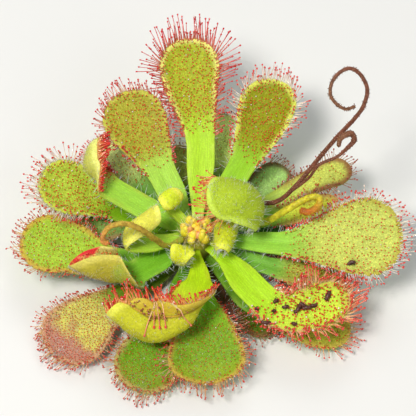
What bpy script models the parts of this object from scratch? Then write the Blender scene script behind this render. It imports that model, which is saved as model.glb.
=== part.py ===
"""A sundew plant as lifted from its pot: a rosette of sticky, spoon-shaped leaves round a short stem.

Run it with blender --background --python part.py, or from the text editor. Metres, +Z up.
The origin is the centre of the stem's cut foot, on the surface that the plant rests on.
+X is the plant's right and -Y its front, as it is seen from above the front edge.
Lengths in the tables below are in millimetres and angles in degrees.
"""

import math
from collections import namedtuple

import bmesh
import bpy
import numpy as np
from mathutils import Vector
from mathutils.bvhtree import BVHTree

MM = 0.001
CLEAR = 0.3  # the gap that separate pieces keep

STEM_RADIUS = 2.3
STEM_FOOT_RADIUS = 2.1
STEM_DOME_RADIUS = 2.14
STEM_DOME_RISE = 1.4
STEM_TOP = 8.2
STEM_WAIST = 4.0  # the height of its widest place
STEM_SIDES = 12
ROOT_RADIUS = STEM_RADIUS + CLEAR + 0.1  # where a leaf stalk starts, from the stem's axis

BLADE_THICKNESS = 0.7
BASE_WIDTH = 1.8
STALK_CUP = 24.0
STALK_SHARE = 0.4  # of the way to the widest place, over which the stalk reaches its own width
BLADE_ROWS = 8  # and 4 more for each 45 degrees of roll
BLADE_BODY_SHARE = 0.75  # of those, the rows short of the widest place

TENTACLE_SIDES = 3
CLUB_RADII = (0.17, 0.12, 0.27)  # at a tentacle's root, neck and head
CLUB_STATIONS = (0.0, 0.8, 0.9, 1.0)  # where those and its tip lie along it
CLUB_BEND = 0.16  # how far its head bends to the leaf's upper side, as a share of its reach
CLUB_LEANS = (0.05, 0.45)  # the least and the most that it leans up, in radians
CLUB_REACHES = (0.85, 1.1)  # the least and the most of its leaf's reach that it has
CLUB_FORWARD = 0.15  # how far it points to the leaf's tip
FIRST_REACH = 0.7  # the share of that reach that it has nearest the stalk
TENTACLE_SUNK = 0.6  # how deep its root stands in the blade's margin
FLOOR_CLEAR = 0.45
MARGIN_START = 0.25  # where the fringe starts, as a share of the way from the shoulder to the widest place
SEED = 24  # of the tentacles' lean and length
FACE_PLACES = ((0.9, 0.0), (1.1, -0.5), (1.15, 0.5), (1.5, 0.0))  # row and column of short tentacles
FACE_REACH = 1.5
FACE_JITTER = 0.1  # in columns
WELD = 0.0001  # points nearer than this are one
FACED_FRINGE = 10  # leaves with a fringe of this many or more have those too
# How a tentacle on the margin may stand, from the first choice on: added lift and share of its reach.
STANCES = ((0.0, 1.0), (0.4, 1.0), (0.8, 0.9), (1.1, 0.7), (0.0, 0.55))

# A leaf leaves the stem at a heading and a level, and its rib runs through the points given.
# lamina and stalk are widths, round is the length of the tip beyond the widest place,
# shoulder is where the blade starts to widen, as a share of the way to that place,
# wedge goes from 0, a spoon, to 1, a wedge, cup is how far the blade's section turns in all,
# roll lifts its left margin, looking outwards, fringe is how many tentacles stand round it,
# reach is their length, and slot is the material.
Leaf = namedtuple(
    "Leaf",
    "heading level rib lamina stalk round shoulder wedge cup roll fringe reach slot",
    defaults=(5.0, 0.5, 0.2, 24.0, 0.0, 14, 3.4, "leaf_green"),
)


def curl(start, heading, radius, turns, shrink=0.55, lean=0.0):
    """Rib points of a young leaf that rolls up and back over its own upper face."""
    turn = math.radians(heading)
    out = np.array((math.cos(turn), math.sin(turn), 0.0))
    up = np.array((-math.sin(turn) * lean, math.cos(turn) * lean, math.sqrt(1 - lean**2)))
    centre = np.array(start) + up * radius
    steps = max(3, round(turns * 8))
    points = []
    for i in range(steps + 1):
        angle = 2 * math.pi * turns * i / steps
        reach = radius * (1 - (1 - shrink) * i / steps)
        points.append(tuple(centre + reach * (out * math.sin(angle) - up * math.cos(angle))))
    return points


LEAVES = {
    # The upper leaves, which rise from the stem.
    "leaf_back_tall": Leaf(
        88, 6.0, [(0.6, 17.1, 10.0), (-1.0, 26.5, 13.0), (-1.7, 34.1, 16.0)], 10.6, 4.8, fringe=18, reach=4.6
    ),
    "leaf_back_left": Leaf(
        116, 4.0, [(-3.6, 8.0, 5.0), (-7.2, 14.0, 8.8), (-10.6, 19.5, 12.0), (-13.2, 23.9, 14.0)], 11.2, 5.0,
        fringe=15, reach=3.0,
    ),
    "leaf_back_right": Leaf(
        60, 5.0, [(8.9, 15.0, 9.3), (12.0, 22.1, 11.5), (13.1, 27.6, 13.0)], 10.2, 4.6, wedge=0.35, fringe=16
    ),
    "leaf_right_long": Leaf(
        355, 5.0, [(8.5, -1.0, 6.3), (16.4, -2.2, 7.5), (28.4, -1.8, 8.8), (34.5, -1.4, 9.2)], 13.8, 4.2,
        round=5.8, shoulder=0.4, roll=20.0, fringe=19,
    ),
    "leaf_prey": Leaf(
        318, 6.0,
        [(5.3, -4.9, 6.3), (9.4, -10.3, 6.2), (14.1, -14.1, 5.4), (19.4, -13.6, 5.0), (25.1, -10.4, 5.7)],
        8.9, 5.4, cup=60.0, fringe=17, reach=3.8,
    ),
    "leaf_front_folded": Leaf(
        263, 6.0,
        [(0.4, -8.0, 6.6), (-0.5, -13.0, 7.7), (-2.2, -18.3, 7.5), (-7.6, -20.1, 7.4), (-14.6, -16.2, 8.9)],
        15.0, 4.6, round=9.0, shoulder=0.3, wedge=0.9, cup=270.0, roll=90.0, fringe=19, reach=3.6,
    ),
    "leaf_left_rolled": Leaf(
        204, 5.0, [(-8.0, -5.2, 5.6), (-12.5, -8.0, 5.7), (-17.0, -7.7, 6.6), (-21.3, -6.4, 7.6)], 13.8, 4.8,
        round=8.0, shoulder=0.7, wedge=1.0, cup=290.0, roll=35.0, fringe=0, reach=1.8,
    ),
    "leaf_left_folded": Leaf(
        150, 5.0,
        [
            (-5.8, 3.4, 6.6), (-10.8, 6.4, 7.2), (-15.4, 9.0, 8.2),
            (-18.8, 11.4, 9.9), (-18.4, 14.6, 10.8), (-16.8, 16.8, 11.0),
        ],
        8.5, 4.6, round=7.0, shoulder=0.75, cup=120.0, roll=72.0, reach=2.8,
    ),
    # The middle leaves, which lie level.
    "leaf_left_upper": Leaf(
        166, 4.0, [(-13.9, 6.7, 4.6), (-20.7, 9.0, 6.2), (-27.1, 9.8, 8.0)], 10.5, 4.4, fringe=15
    ),
    "leaf_left_lower": Leaf(
        192, 3.0, [(-15.5, -3.2, 3.6), (-22.3, -1.2, 4.0), (-29.9, 0.1, 5.0)], 11.4, 4.0,
        shoulder=0.4, wedge=0.6, reach=2.8,
    ),
    "leaf_front": Leaf(
        270, 4.0, [(1.4, -12.9, 3.7), (1.6, -19.9, 3.3), (1.9, -26.0, 2.2)], 13.2, 3.6,
        round=4.0, shoulder=0.4, wedge=0.7, fringe=15, reach=3.2,
    ),
    "leaf_right_back": Leaf(
        26, 4.0, [(8.0, 3.6, 4.9), (15.2, 4.1, 6.4), (19.6, 4.9, 6.6), (24.4, 5.8, 6.8)], 5.4, 3.4,
        round=3.0, fringe=7, reach=2.2,
    ),
    "leaf_right_front": Leaf(
        340, 4.0, [(13.2, -5.0, 4.3), (19.1, -6.4, 4.0), (25.7, -7.6, 3.8)], 8.0, 3.4,
        round=4.0, fringe=9, reach=2.4,
    ),
    # The old lower leaves, which sink to the surface.
    "leaf_front_left": Leaf(
        219, 2.0, [(-6.6, -5.0, 1.9), (-11.2, -8.3, 2.3), (-18.0, -14.2, 1.8), (-23.6, -20.0, 0.5)],
        12.2, 4.4, fringe=15, reach=2.8,
    ),
    "leaf_front_low": Leaf(
        241, 3.0, [(-2.6, -7.2, 3.0), (-4.1, -13.6, 2.3), (-7.4, -20.2, 1.4), (-9.6, -26.6, 0.5)], 11.4, 4.0,
        reach=2.8,
    ),
    "leaf_prey_under": Leaf(
        310, 3.0, [(5.5, -6.9, 3.4), (8.9, -11.1, 3.2), (17.2, -14.4, 1.8), (25.7, -15.4, 0.8)], 8.0, 3.6,
        round=4.0, fringe=11, reach=2.8,
    ),
    "leaf_front_right_low": Leaf(
        298, 1.0, [(6.9, -8.4, 1.0), (9.8, -12.4, 0.9), (12.1, -16.2, 0.6)], 6.4, 3.2,
        round=3.5, fringe=9, reach=2.0,
    ),
    "leaf_right_low": Leaf(
        0, 1.0, [(13.3, 3.4, 2.8), (19.3, 3.9, 3.0), (25.3, 4.3, 2.6)], 9.0, 3.6,
        round=4.5, fringe=8, reach=2.0,
    ),
    "leaf_right_back_low": Leaf(
        33, 3.0,
        [(9.8, 6.2, 4.0), (13.5, 7.8, 5.3), (16.6, 9.1, 6.2), (22.0, 11.4, 7.0), (26.4, 13.0, 7.4)],
        5.6, 3.4, round=3.0, fringe=9, reach=2.0,
    ),
    "leaf_back_right_cupped": Leaf(
        46, 1.0, [(10.4, 10.6, 2.6), (13.2, 13.2, 2.9), (15.8, 15.2, 3.2)], 7.6, 3.4,
        round=3.6, cup=100.0, fringe=9, reach=2.0,
    ),
    "leaf_back_low": Leaf(
        79, 2.0, [(2.9, 16.2, 3.3), (4.0, 22.2, 3.6), (4.5, 27.0, 3.0)], 9.0, 4.0,
        round=4.5, fringe=9, reach=1.6,
    ),
    "leaf_back_small": Leaf(
        104, 1.0, [(-2.3, 13.1, 2.0), (-3.0, 17.4, 2.0), (-3.5, 21.3, 1.6)], 6.0, 3.2,
        round=3.0, fringe=6, reach=1.6,
    ),
    "leaf_back_left_low": Leaf(
        124, 2.0, [(-9.4, 11.4, 3.6), (-13.4, 16.2, 3.8), (-18.2, 21.2, 1.8)], 8.0, 3.8,
        round=4.0, fringe=10, reach=2.0,
    ),
    "leaf_left_low": Leaf(
        172, 2.0, [(-12.3, 4.4, 2.6), (-17.4, 4.4, 2.4), (-21.4, 4.9, 2.0)], 8.0, 3.6,
        round=4.0, fringe=8, reach=1.6,
    ),
    # The dead leaves, dried narrow.
    "leaf_dead_left": Leaf(
        184, 1.0, [(-8.0, -0.6, 1.2), (-13.0, -0.2, 1.4), (-19.0, 0.4, 1.0)], 3.4, 2.6, round=2.0, fringe=0,
        slot="leaf_dead",
    ),
    "leaf_dead_front": Leaf(
        284, 2.0, [(3.9, -9.4, 2.3), (4.9, -14.0, 2.3), (6.2, -17.9, 2.0)], 3.6, 2.4, round=2.0, fringe=0,
        slot="leaf_dead",
    ),
    "leaf_dead_right": Leaf(
        330, 2.0, [(11.0, -3.2, 2.4), (15.7, -5.0, 2.4), (19.6, -6.8, 2.0)], 6.0, 3.0,
        round=3.0, fringe=6, reach=1.4,
        slot="leaf_dead",
    ),
    # The young leaves, still rolled over the crown.
    "young_back_right": Leaf(
        24, 7.0, [(7.6, 2.0, 8.4), (10.9, 0.6, 12.6), (8.0, 1.2, 17.2), (1.8, 2.6, 17.8)], 10.4, 3.6,
        round=4.0, shoulder=0.3, wedge=0.5, cup=140.0, fringe=11, reach=2.8, slot="leaf_young",
    ),
    "young_right": Leaf(
        336, 7.0, curl((4.4, -2.2, 7.9), 350, 2.1, 1.1, 0.35), 6.4, 5.2, round=2.0, shoulder=0.2, fringe=0,
        slot="leaf_young",
    ),
    "young_back_left": Leaf(
        130, 7.0, curl((-4.4, 4.6, 8.2), 130, 2.0, 0.8), 4.4, 2.0, round=1.5, fringe=0, slot="leaf_young"
    ),
    "young_left": Leaf(
        190, 7.0, [(-7.8, -2.3, 7.9), (-11.9, -2.8, 9.6), (-11.0, -1.5, 12.3), (-6.4, 1.3, 14.2)], 7.5, 3.8,
        round=3.0, cup=300.0, fringe=0, slot="leaf_young",
    ),
    "young_front": Leaf(
        244, 7.0, curl((-2.4, -5.2, 7.4), 244, 1.8, 0.8), 4.2, 2.0, round=1.5, fringe=0, slot="leaf_young"
    ),
}

# A flower stalk runs through its points, with its widths read along it and perhaps a side stalk.
Scape = namedtuple("Scape", "points widths slot side", defaults=(None,))

SCAPES = {
    "scape_old": Scape(
        [
            (1.6, 2.7, 7.2), (7.0, 5.4, 8.2), (13.3, 4.6, 10.0), (16.9, 5.4, 14.5),
            (20.2, 7.4, 19.0), (23.5, 9.2, 23.5), (25.8, 10.4, 26.2), (27.3, 11.3, 29.0),
            (27.8, 13.3, 31.0), (26.4, 15.3, 32.5), (24.8, 15.8, 33.0), (23.0, 15.0, 32.5),
            (21.9, 13.5, 31.5), (21.9, 12.0, 30.5), (23.0, 11.0, 29.5), (24.5, 10.5, 29.0),
            (26.0, 11.1, 29.2),
        ],
        [1.0, 0.9, 0.8, 0.7, 0.6],
        "scape_brown",
        Scape(
            [
                (15.2, 4.9, 12.0), (18.6, 4.9, 17.0), (20.3, 5.2, 20.7), (23.1, 5.9, 21.9),
                (24.8, 6.7, 23.4), (25.9, 7.6, 24.4), (25.3, 8.2, 25.4), (23.6, 7.5, 24.9), (23.3, 6.7, 23.4),
            ],
            [0.6, 0.6, 0.6, 1.0, 1.2, 0.8],
            "scape_brown",
        ),
    ),
    "scape_young_left": Scape(
        [
            (-2.3, -1.7, 8.4), (-4.8, -3.6, 9.2), (-6.9, -4.1, 12.3), (-9.1, -4.5, 16.0),
            (-11.6, -4.3, 17.5), (-14.1, -4.6, 17.1), (-15.3, -5.0, 15.0), (-15.4, -5.5, 13.8),
            (-14.5, -5.6, 13.3),
        ],
        [1.1, 0.9, 0.8],
        "scape_green",
    ),
    "scape_young_right": Scape(
        [
            (2.4, 1.5, 6.0), (7.8, 2.6, 6.7), (11.5, 1.4, 8.8), (14.8, 1.6, 12.0), (19.2, 3.1, 14.0),
            (20.5, 2.7, 14.0), (20.2, 1.6, 13.5), (18.5, 0.7, 13.0), (17.1, 1.3, 12.8),
        ],
        [0.8, 1.2, 1.1, 1.2, 1.1],
        "scape_green",
    ),
}


def scape_line(scape):
    """The points that a flower stalk runs through, smoothed."""
    return spline_through(scape.points, 3)


def smooth(share):
    """An S-shaped step from 0 to 1 as share goes from 0 to 1."""
    held = np.clip(share, 0.0, 1.0)
    return held * held * (3.0 - 2.0 * held)


def spline_through(points, steps=24):
    """Points along a smooth curve that passes through the points given."""
    known = np.array(points, float)
    known = np.vstack([2 * known[0] - known[1], known, 2 * known[-1] - known[-2]])
    knots = np.concatenate([[0.0], np.cumsum(np.linalg.norm(np.diff(known, axis=0), axis=1) ** 0.5)])
    pieces = []
    for i in range(1, len(known) - 2):
        at = np.linspace(knots[i], knots[i + 1], steps, endpoint=False)[:, None]
        k0, k1, k2, k3 = knots[i - 1 : i + 3]
        p0, p1, p2, p3 = known[i - 1 : i + 3]
        a1 = (k1 - at) / (k1 - k0) * p0 + (at - k0) / (k1 - k0) * p1
        a2 = (k2 - at) / (k2 - k1) * p1 + (at - k1) / (k2 - k1) * p2
        a3 = (k3 - at) / (k3 - k2) * p2 + (at - k2) / (k3 - k2) * p3
        b1 = (k2 - at) / (k2 - k0) * a1 + (at - k0) / (k2 - k0) * a2
        b2 = (k3 - at) / (k3 - k1) * a2 + (at - k1) / (k3 - k1) * a3
        pieces.append((k2 - at) / (k2 - k1) * b1 + (at - k1) / (k2 - k1) * b2)
    return np.vstack([*pieces, known[-2]])


def unit(vectors):
    """The vectors at length 1."""
    return vectors / np.linalg.norm(vectors, axis=-1, keepdims=True)


class Blade:
    """The middle surface of a leaf: a strip that is bent along its rib and across it."""

    def __init__(self, leaf):
        self.leaf = leaf
        turn = math.radians(leaf.heading)
        root = (ROOT_RADIUS * math.cos(turn), ROOT_RADIUS * math.sin(turn), leaf.level)
        self.place = spline_through([root, *leaf.rib])
        steps = np.diff(self.place, axis=0)
        self.station = np.concatenate([[0.0], np.cumsum(np.linalg.norm(steps, axis=1))])
        self.length = self.station[-1]
        self.widest = self.length - leaf.round
        tangent = unit(np.gradient(self.place, self.station, axis=0))
        side = unit(np.cross((0.0, 0.0, 1.0), tangent[0]))
        sides = []
        for direction in tangent:
            side = unit(side - direction * (side @ direction))
            sides.append(side)
        sides = np.array(sides)
        normals = np.cross(tangent, sides)
        share = (self.station / self.widest - leaf.shoulder) / (1 - leaf.shoulder)
        turned = np.radians(leaf.roll) * smooth(share)[:, None]
        self.tangent = tangent
        self.side = sides * np.cos(turned) + normals * np.sin(turned)
        self.normal = normals * np.cos(turned) - sides * np.sin(turned)

    def half_width(self, along):
        """Half the blade's width, at a distance along the rib that is short of the round tip."""
        leaf = self.leaf
        share = along / self.widest
        spread = np.clip((share - leaf.shoulder) / (1 - leaf.shoulder), 0.0, 1.0)
        shape = (1 - leaf.wedge) * smooth(spread) + leaf.wedge * np.sin(spread * math.pi / 2)
        narrow = BASE_WIDTH + (leaf.stalk - BASE_WIDTH) * smooth(share / STALK_SHARE)
        return 0.5 * (narrow + (leaf.lamina - leaf.stalk) * shape)

    def flat(self, row, column):
        """(along, across) on the flat leaf: row goes 0 to 1 to the widest place and on to 2 at the tip."""
        body = np.clip(row, 0.0, 1.0)
        tip = np.clip(row - 1.0, 0.0, 1.0)
        along = self.widest * body + self.leaf.round * tip * np.sqrt(1 - column**2 / 2)
        across = column * self.half_width(self.widest * body) * np.sqrt(1 - tip**2 / 2)
        return along, across

    def bent(self, along, across):
        """(place, tangent, side, normal) on the bent leaf, for a place on the flat one."""
        leaf = self.leaf
        place, tangent, side, normal = (
            np.stack([np.interp(along, self.station, table[:, axis]) for axis in range(3)], -1)
            for table in (self.place, self.tangent, self.side, self.normal)
        )
        opened = smooth((along / self.widest - leaf.shoulder) / (1 - leaf.shoulder))
        stalk_bend = math.radians(STALK_CUP) / leaf.stalk
        blade_bend = math.radians(leaf.cup) / leaf.lamina
        bend = (stalk_bend + (blade_bend - stalk_bend) * opened)[..., None]
        angle = bend * across[..., None]
        sine, cosine = np.sin(angle), np.cos(angle)
        place = place + side * sine / bend + normal * (1 - cosine) / bend
        return place, tangent, side * cosine + normal * sine, normal * cosine - side * sine

    def at(self, row, column):
        """(place, tangent, side, normal) on the bent leaf at a row and a column."""
        return self.bent(*self.flat(np.asarray(row, float), np.asarray(column, float)))


def blade_mesh(blade):
    """The middle surface of a leaf as a grid of triangles that lean alternately."""
    bm = bmesh.new()
    columns = 3 + round(blade.leaf.cup / 70.0)
    rows = BLADE_ROWS + 4 * round(blade.leaf.roll / 45.0)
    bmesh.ops.create_grid(bm, x_segments=rows, y_segments=columns, size=1.0)
    flat = np.array([vert.co for vert in bm.verts])
    widest = 2.0 * BLADE_BODY_SHARE - 1.0
    row = np.interp(flat[:, 0], [-1.0, widest, 1.0], [0.0, 1.0, 2.0])
    place = blade.at(row, flat[:, 1])[0]
    for vert, point in zip(bm.verts, place * MM):
        vert.co = point
    bmesh.ops.triangulate(bm, faces=bm.faces, quad_method="ALTERNATE")
    return bm


def add_object(name, bm, collection):
    """An object with a mesh of its own, made from bm."""
    mesh = bpy.data.meshes.new(name)
    bm.to_mesh(mesh)
    bm.free()
    made = bpy.data.objects.new(name, mesh)
    collection.objects.link(made)
    return made


def apply_modifiers(made):
    """Fix the object's modifiers into its mesh."""
    bpy.context.view_layer.update()
    graph = bpy.context.evaluated_depsgraph_get()
    made.data = bpy.data.meshes.new_from_object(made.evaluated_get(graph))
    made.modifiers.clear()


def club(axis, collection):
    """A three-sided tentacle along an axis of four places: root, neck, head and tip."""
    along = unit(np.gradient(axis, axis=0))
    across = unit(np.cross(along[0], (0.3, 0.5, 0.8)))
    bm = bmesh.new()
    bmesh.ops.create_circle(bm, cap_ends=True, segments=TENTACLE_SIDES, radius=1.0)
    face = bm.faces[:][0]
    for station, (place, direction, radius) in enumerate(zip(axis, along, CLUB_RADII)):
        if station:
            face = bmesh.ops.extrude_discrete_faces(bm, faces=[face])["faces"][0]
        across = unit(across - direction * (across @ direction))
        other = np.cross(direction, across)
        for i, vert in enumerate(face.verts):
            turn = 2 * math.pi * i / TENTACLE_SIDES
            vert.co = (place + radius * (across * math.cos(turn) + other * math.sin(turn))) * MM
    tip = bmesh.ops.poke(bm, faces=[face])["verts"][0]
    tip.co = axis[-1] * MM
    bmesh.ops.holes_fill(bm, edges=bm.edges, sides=TENTACLE_SIDES)
    bmesh.ops.recalc_face_normals(bm, faces=bm.faces)
    return add_object("tentacle", bm, collection)


def probes(axis):
    """The places along a tentacle's axis at which its clearance is tested."""
    middle = [axis[0] + (axis[1] - axis[0]) * share for share in (0.4, 0.7)]
    return np.vstack([*middle, axis[1:]])


class Surroundings:
    """What is already in place, which a new tentacle has to keep clear of."""

    def __init__(self, blades):
        self.trees = {}
        for name, blade in blades.items():
            rows, columns = 25, 9
            row, column = np.meshgrid(np.linspace(0, 2, rows), np.linspace(-1, 1, columns), indexing="ij")
            place = blade.at(row, column)[0].reshape(-1, 3)
            corners = [
                (columns * i + j, columns * i + j + 1, columns * (i + 1) + j + 1, columns * (i + 1) + j)
                for i in range(rows - 1)
                for j in range(columns - 1)
            ]
            self.trees[name] = BVHTree.FromPolygons([Vector(point) for point in place], corners)
        self.placed = []

    def take(self, axis, owner):
        """Whether a tentacle of the owner's fits along this axis. If it does, its place is kept."""
        if axis[1:, 2].min() < FLOOR_CLEAR:
            return False
        probe = probes(axis)
        for name, tree in self.trees.items():
            own = name == owner
            room = CLUB_RADII[2] + (0.2 if own else BLADE_THICKNESS / 2 + CLEAR)
            for point in probe[2 if own else 0 :]:
                if tree.find_nearest(Vector(point), room)[0] is not None:
                    return False
        for other, other_probe in self.placed:
            room = 2 * CLUB_RADII[2] + (CLEAR / 2 if other == owner else CLEAR)
            if np.linalg.norm(probe[:, None] - other_probe[None], axis=2).min() < room:
                return False
        self.placed.append((owner, probe))
        return True


def margin(blade, count):
    """(row, column) of places that stand evenly round the blade's widened margin."""
    start = blade.leaf.shoulder + MARGIN_START * (1 - blade.leaf.shoulder)
    flank = np.concatenate([np.linspace(start, 1.0, 30), np.linspace(1.0, 2.0, 12)[1:-1]])
    tip = np.linspace(-1.0, 1.0, 40)
    row = np.concatenate([flank, np.full_like(tip, 2.0), flank[::-1]])
    column = np.concatenate([np.full_like(flank, -1.0), tip, np.ones_like(flank)])
    place = blade.at(row, column)[0]
    run = np.concatenate([[0.0], np.cumsum(np.linalg.norm(np.diff(place, axis=0), axis=1))])
    stops = np.linspace(run[0], run[-1], count)
    return np.interp(stops, run, row), np.interp(stops, run, column)


def tentacle_axis(blade, row, column, lift, reach):
    """The axis of a tentacle on the margin, which leans up by lift and bends in at its head."""
    place, tangent, side, normal = blade.at(row, column)
    beyond = np.clip(row - 1.0, 0.0, 1.0)
    out = unit(side * column * (1 + CLUB_FORWARD - beyond) + tangent * (CLUB_FORWARD + beyond))
    away = out * math.cos(lift) + normal * math.sin(lift)
    root = place - out * TENTACLE_SUNK
    reach = reach + TENTACLE_SUNK
    share = np.array(CLUB_STATIONS)[:, None]
    return root + reach * (share * away + CLUB_BEND * share**2 * normal)


def leaf_tentacles(name, blade, around, draw):
    """The axes of the tentacles round a leaf's margin and on its face."""
    axes = []
    leaf = blade.leaf
    for row, column in zip(*margin(blade, leaf.fringe)):
        lean = draw.uniform(*CLUB_LEANS)
        reach = leaf.reach * draw.uniform(*CLUB_REACHES)
        reach *= FIRST_REACH + (1 - FIRST_REACH) * min(row, 1.0)
        for lift, share in STANCES:
            axis = tentacle_axis(blade, row, column, lean + lift, reach * share)
            if around.take(axis, name):
                axes.append(axis)
                break
    if leaf.fringe < FACED_FRINGE:
        return axes
    for row, column in FACE_PLACES:
        place, tangent, side, normal = blade.at(row, column + draw.uniform(-FACE_JITTER, FACE_JITTER))
        away = unit(normal + 0.25 * tangent + 0.3 * column * side)
        axis = place + np.array(CLUB_STATIONS)[:, None] * FACE_REACH * away
        if around.take(axis, name):
            axes.append(axis)
    return axes


def join(made, repeats):
    """Join every object of a collection to one solid, and remove the collection."""
    union = made.modifiers.new("joined", "BOOLEAN")
    union.operation = "UNION"
    union.operand_type = "COLLECTION"
    union.collection = repeats
    union.solver = "MANIFOLD"
    apply_modifiers(made)
    for repeat in list(repeats.objects):
        bpy.data.objects.remove(repeat)
    bpy.data.collections.remove(repeats)


def build_leaf(name, blade, axes, collection, material):
    """A leaf: its blade with thickness, joined with its tentacles in one solid."""
    made = add_object(name, blade_mesh(blade), collection)
    made.data.materials.append(material)
    solid = made.modifiers.new("thickness", "SOLIDIFY")
    solid.thickness = BLADE_THICKNESS * MM
    solid.offset = 0.0
    apply_modifiers(made)
    if not axes:
        return made
    repeats = bpy.data.collections.new("tentacles")
    bpy.context.scene.collection.children.link(repeats)
    for axis in axes:
        club(axis, repeats)
    join(made, repeats)
    return made


def turned(name, profile, sides, collection, material):
    """A round solid from a profile of (radius, height), top to bottom."""
    bm = bmesh.new()
    verts = [bm.verts.new((radius * MM, 0.0, height * MM)) for radius, height in profile]
    for first, second in zip(verts, verts[1:]):
        bm.edges.new((first, second))
    made = add_object(name, bm, collection)
    made.data.materials.append(material)
    screw = made.modifiers.new("turned", "SCREW")
    screw.steps = screw.render_steps = sides
    screw.use_merge_vertices = True
    screw.merge_threshold = WELD * MM
    return made


def build_stem(collection, material):
    """The short stem that carries the leaves, cut flat at its foot."""
    dome = [
        (STEM_DOME_RADIUS * math.sin(angle), STEM_TOP - STEM_DOME_RISE * (1 - math.cos(angle)))
        for angle in (0.0, 0.55, 1.1, math.pi / 2)
    ]
    profile = [*dome, (STEM_RADIUS, STEM_WAIST), (STEM_FOOT_RADIUS, 0.0), (0.0, 0.0)]
    return turned("stem", profile, STEM_SIDES, collection, material)


def tube(name, scape, collection):
    """A closed mesh along a flower stalk's points, made from a curve."""
    line = scape_line(scape)
    shares = np.linspace(0.0, 1.0, len(line))
    widths = np.interp(shares, np.linspace(0.0, 1.0, len(scape.widths)), scape.widths)
    curve = bpy.data.curves.new(name, "CURVE")
    curve.dimensions = "3D"
    curve.bevel_depth = 0.5 * MM
    curve.bevel_resolution = 1
    curve.use_fill_caps = True
    spline = curve.splines.new("POLY")
    spline.points.add(len(line) - 1)
    for point, place, width in zip(spline.points, line, widths):
        point.co = (*(place * MM), 1.0)
        point.radius = width
    drawn = bpy.data.objects.new(name + "_curve", curve)
    collection.objects.link(drawn)
    bpy.context.view_layer.update()
    graph = bpy.context.evaluated_depsgraph_get()
    mesh = bpy.data.meshes.new_from_object(drawn.evaluated_get(graph))
    bpy.data.objects.remove(drawn)
    bm = bmesh.new()
    bm.from_mesh(mesh)
    bpy.data.meshes.remove(mesh)
    bmesh.ops.remove_doubles(bm, verts=bm.verts, dist=WELD * MM)
    return add_object(name, bm, collection)


def build_scape(name, scape, collection, material):
    """A flower stalk, joined with its side stalk where it has one."""
    made = tube(name, scape, collection)
    made.data.materials.append(material)
    if scape.side:
        branches = bpy.data.collections.new("side_stalks")
        bpy.context.scene.collection.children.link(branches)
        tube(name + "_side", scape.side, branches)
        join(made, branches)
    return made


SLOTS = {
    "leaf_green": ((0.36, 0.56, 0.06), 0.45),
    "leaf_young": ((0.56, 0.66, 0.12), 0.5),
    "leaf_dead": ((0.16, 0.07, 0.04), 0.8),
    "stem_crown": ((0.62, 0.55, 0.16), 0.7),
    "scape_green": ((0.62, 0.45, 0.12), 0.5),
    "scape_brown": ((0.26, 0.12, 0.08), 0.7),
}


def make_materials():
    """A plain material for each slot."""
    made = {}
    for slot, (colour, roughness) in SLOTS.items():
        material = bpy.data.materials.new(slot)
        material.use_nodes = True
        surface = material.node_tree.nodes["Principled BSDF"]
        surface.inputs["Base Color"].default_value = (*colour, 1.0)
        surface.inputs["Roughness"].default_value = roughness
        material.diffuse_color = (*colour, 1.0)
        made[slot] = material
    return made


def main():
    """Clear the scene and build the plant."""
    for old in list(bpy.data.objects):
        bpy.data.objects.remove(old)
    collection = bpy.data.collections.new("sundew_plant")
    bpy.context.scene.collection.children.link(collection)
    materials = make_materials()
    build_stem(collection, materials["stem_crown"])
    for name, scape in SCAPES.items():
        build_scape(name, scape, collection, materials[scape.slot])
    blades = {name: Blade(leaf) for name, leaf in LEAVES.items()}
    around = Surroundings(blades)
    for order, (name, blade) in enumerate(blades.items()):
        axes = leaf_tentacles(name, blade, around, np.random.default_rng([SEED, order]))
        build_leaf(name, blade, axes, collection, materials[blade.leaf.slot])


if __name__ == "__main__":
    main()
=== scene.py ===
"""The looks of a sundew plant: its leaves, tentacles, hairs and flower stalks in full detail.

Metres, +Z up. Lengths in the tables are in millimetres and angles in degrees.
The leaves and stalks run where the plain model's run: the tables of their forms are the same.
"""

import math
from collections import namedtuple

import bmesh
import bpy
import numpy as np
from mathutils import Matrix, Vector


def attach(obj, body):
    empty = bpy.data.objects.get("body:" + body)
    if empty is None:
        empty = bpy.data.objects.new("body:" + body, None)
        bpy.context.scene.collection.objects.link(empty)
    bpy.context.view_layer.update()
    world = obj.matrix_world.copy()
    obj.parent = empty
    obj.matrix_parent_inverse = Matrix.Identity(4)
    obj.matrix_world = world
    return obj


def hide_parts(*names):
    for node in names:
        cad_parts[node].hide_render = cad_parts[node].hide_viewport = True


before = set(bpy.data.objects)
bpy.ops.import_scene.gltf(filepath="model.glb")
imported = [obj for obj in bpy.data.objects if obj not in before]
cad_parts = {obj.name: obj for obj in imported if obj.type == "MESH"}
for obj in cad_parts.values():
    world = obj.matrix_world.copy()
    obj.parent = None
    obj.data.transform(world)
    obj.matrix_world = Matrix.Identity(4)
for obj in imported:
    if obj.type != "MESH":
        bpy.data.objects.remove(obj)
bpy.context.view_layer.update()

MM = 0.001
UP = np.array([0.0, 0.0, 1.0])

STEM_RADIUS = 2.3
STEM_FOOT_RADIUS = 2.1
STEM_TOP = 8.2
ROOT_RADIUS = STEM_RADIUS + 0.4  # where a leaf stalk starts, from the stem's axis
BASE_WIDTH = 1.8
BASE_SHARE = 0.4  # of the way to the widest place, where the stalk has its full width
STALK_CUP = 24.0

# A leaf leaves the stem at a heading and a level, and its rib runs through the points given.
# lamina and stalk are widths, round is the length of the tip beyond the widest place,
# shoulder is where the blade starts to widen, as a share of the way to that place,
# wedge goes from 0, a spoon, to 1, a wedge, cup is how far the blade's section turns in all,
# roll lifts its left margin, looking outwards, reach is the length of the tentacles round it,
# and slot is the material.
Leaf = namedtuple(
    "Leaf",
    "heading level rib lamina stalk round shoulder wedge cup roll reach slot",
    defaults=(5.0, 0.5, 0.2, 24.0, 0.0, 3.4, "leaf_green"),
)


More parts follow.
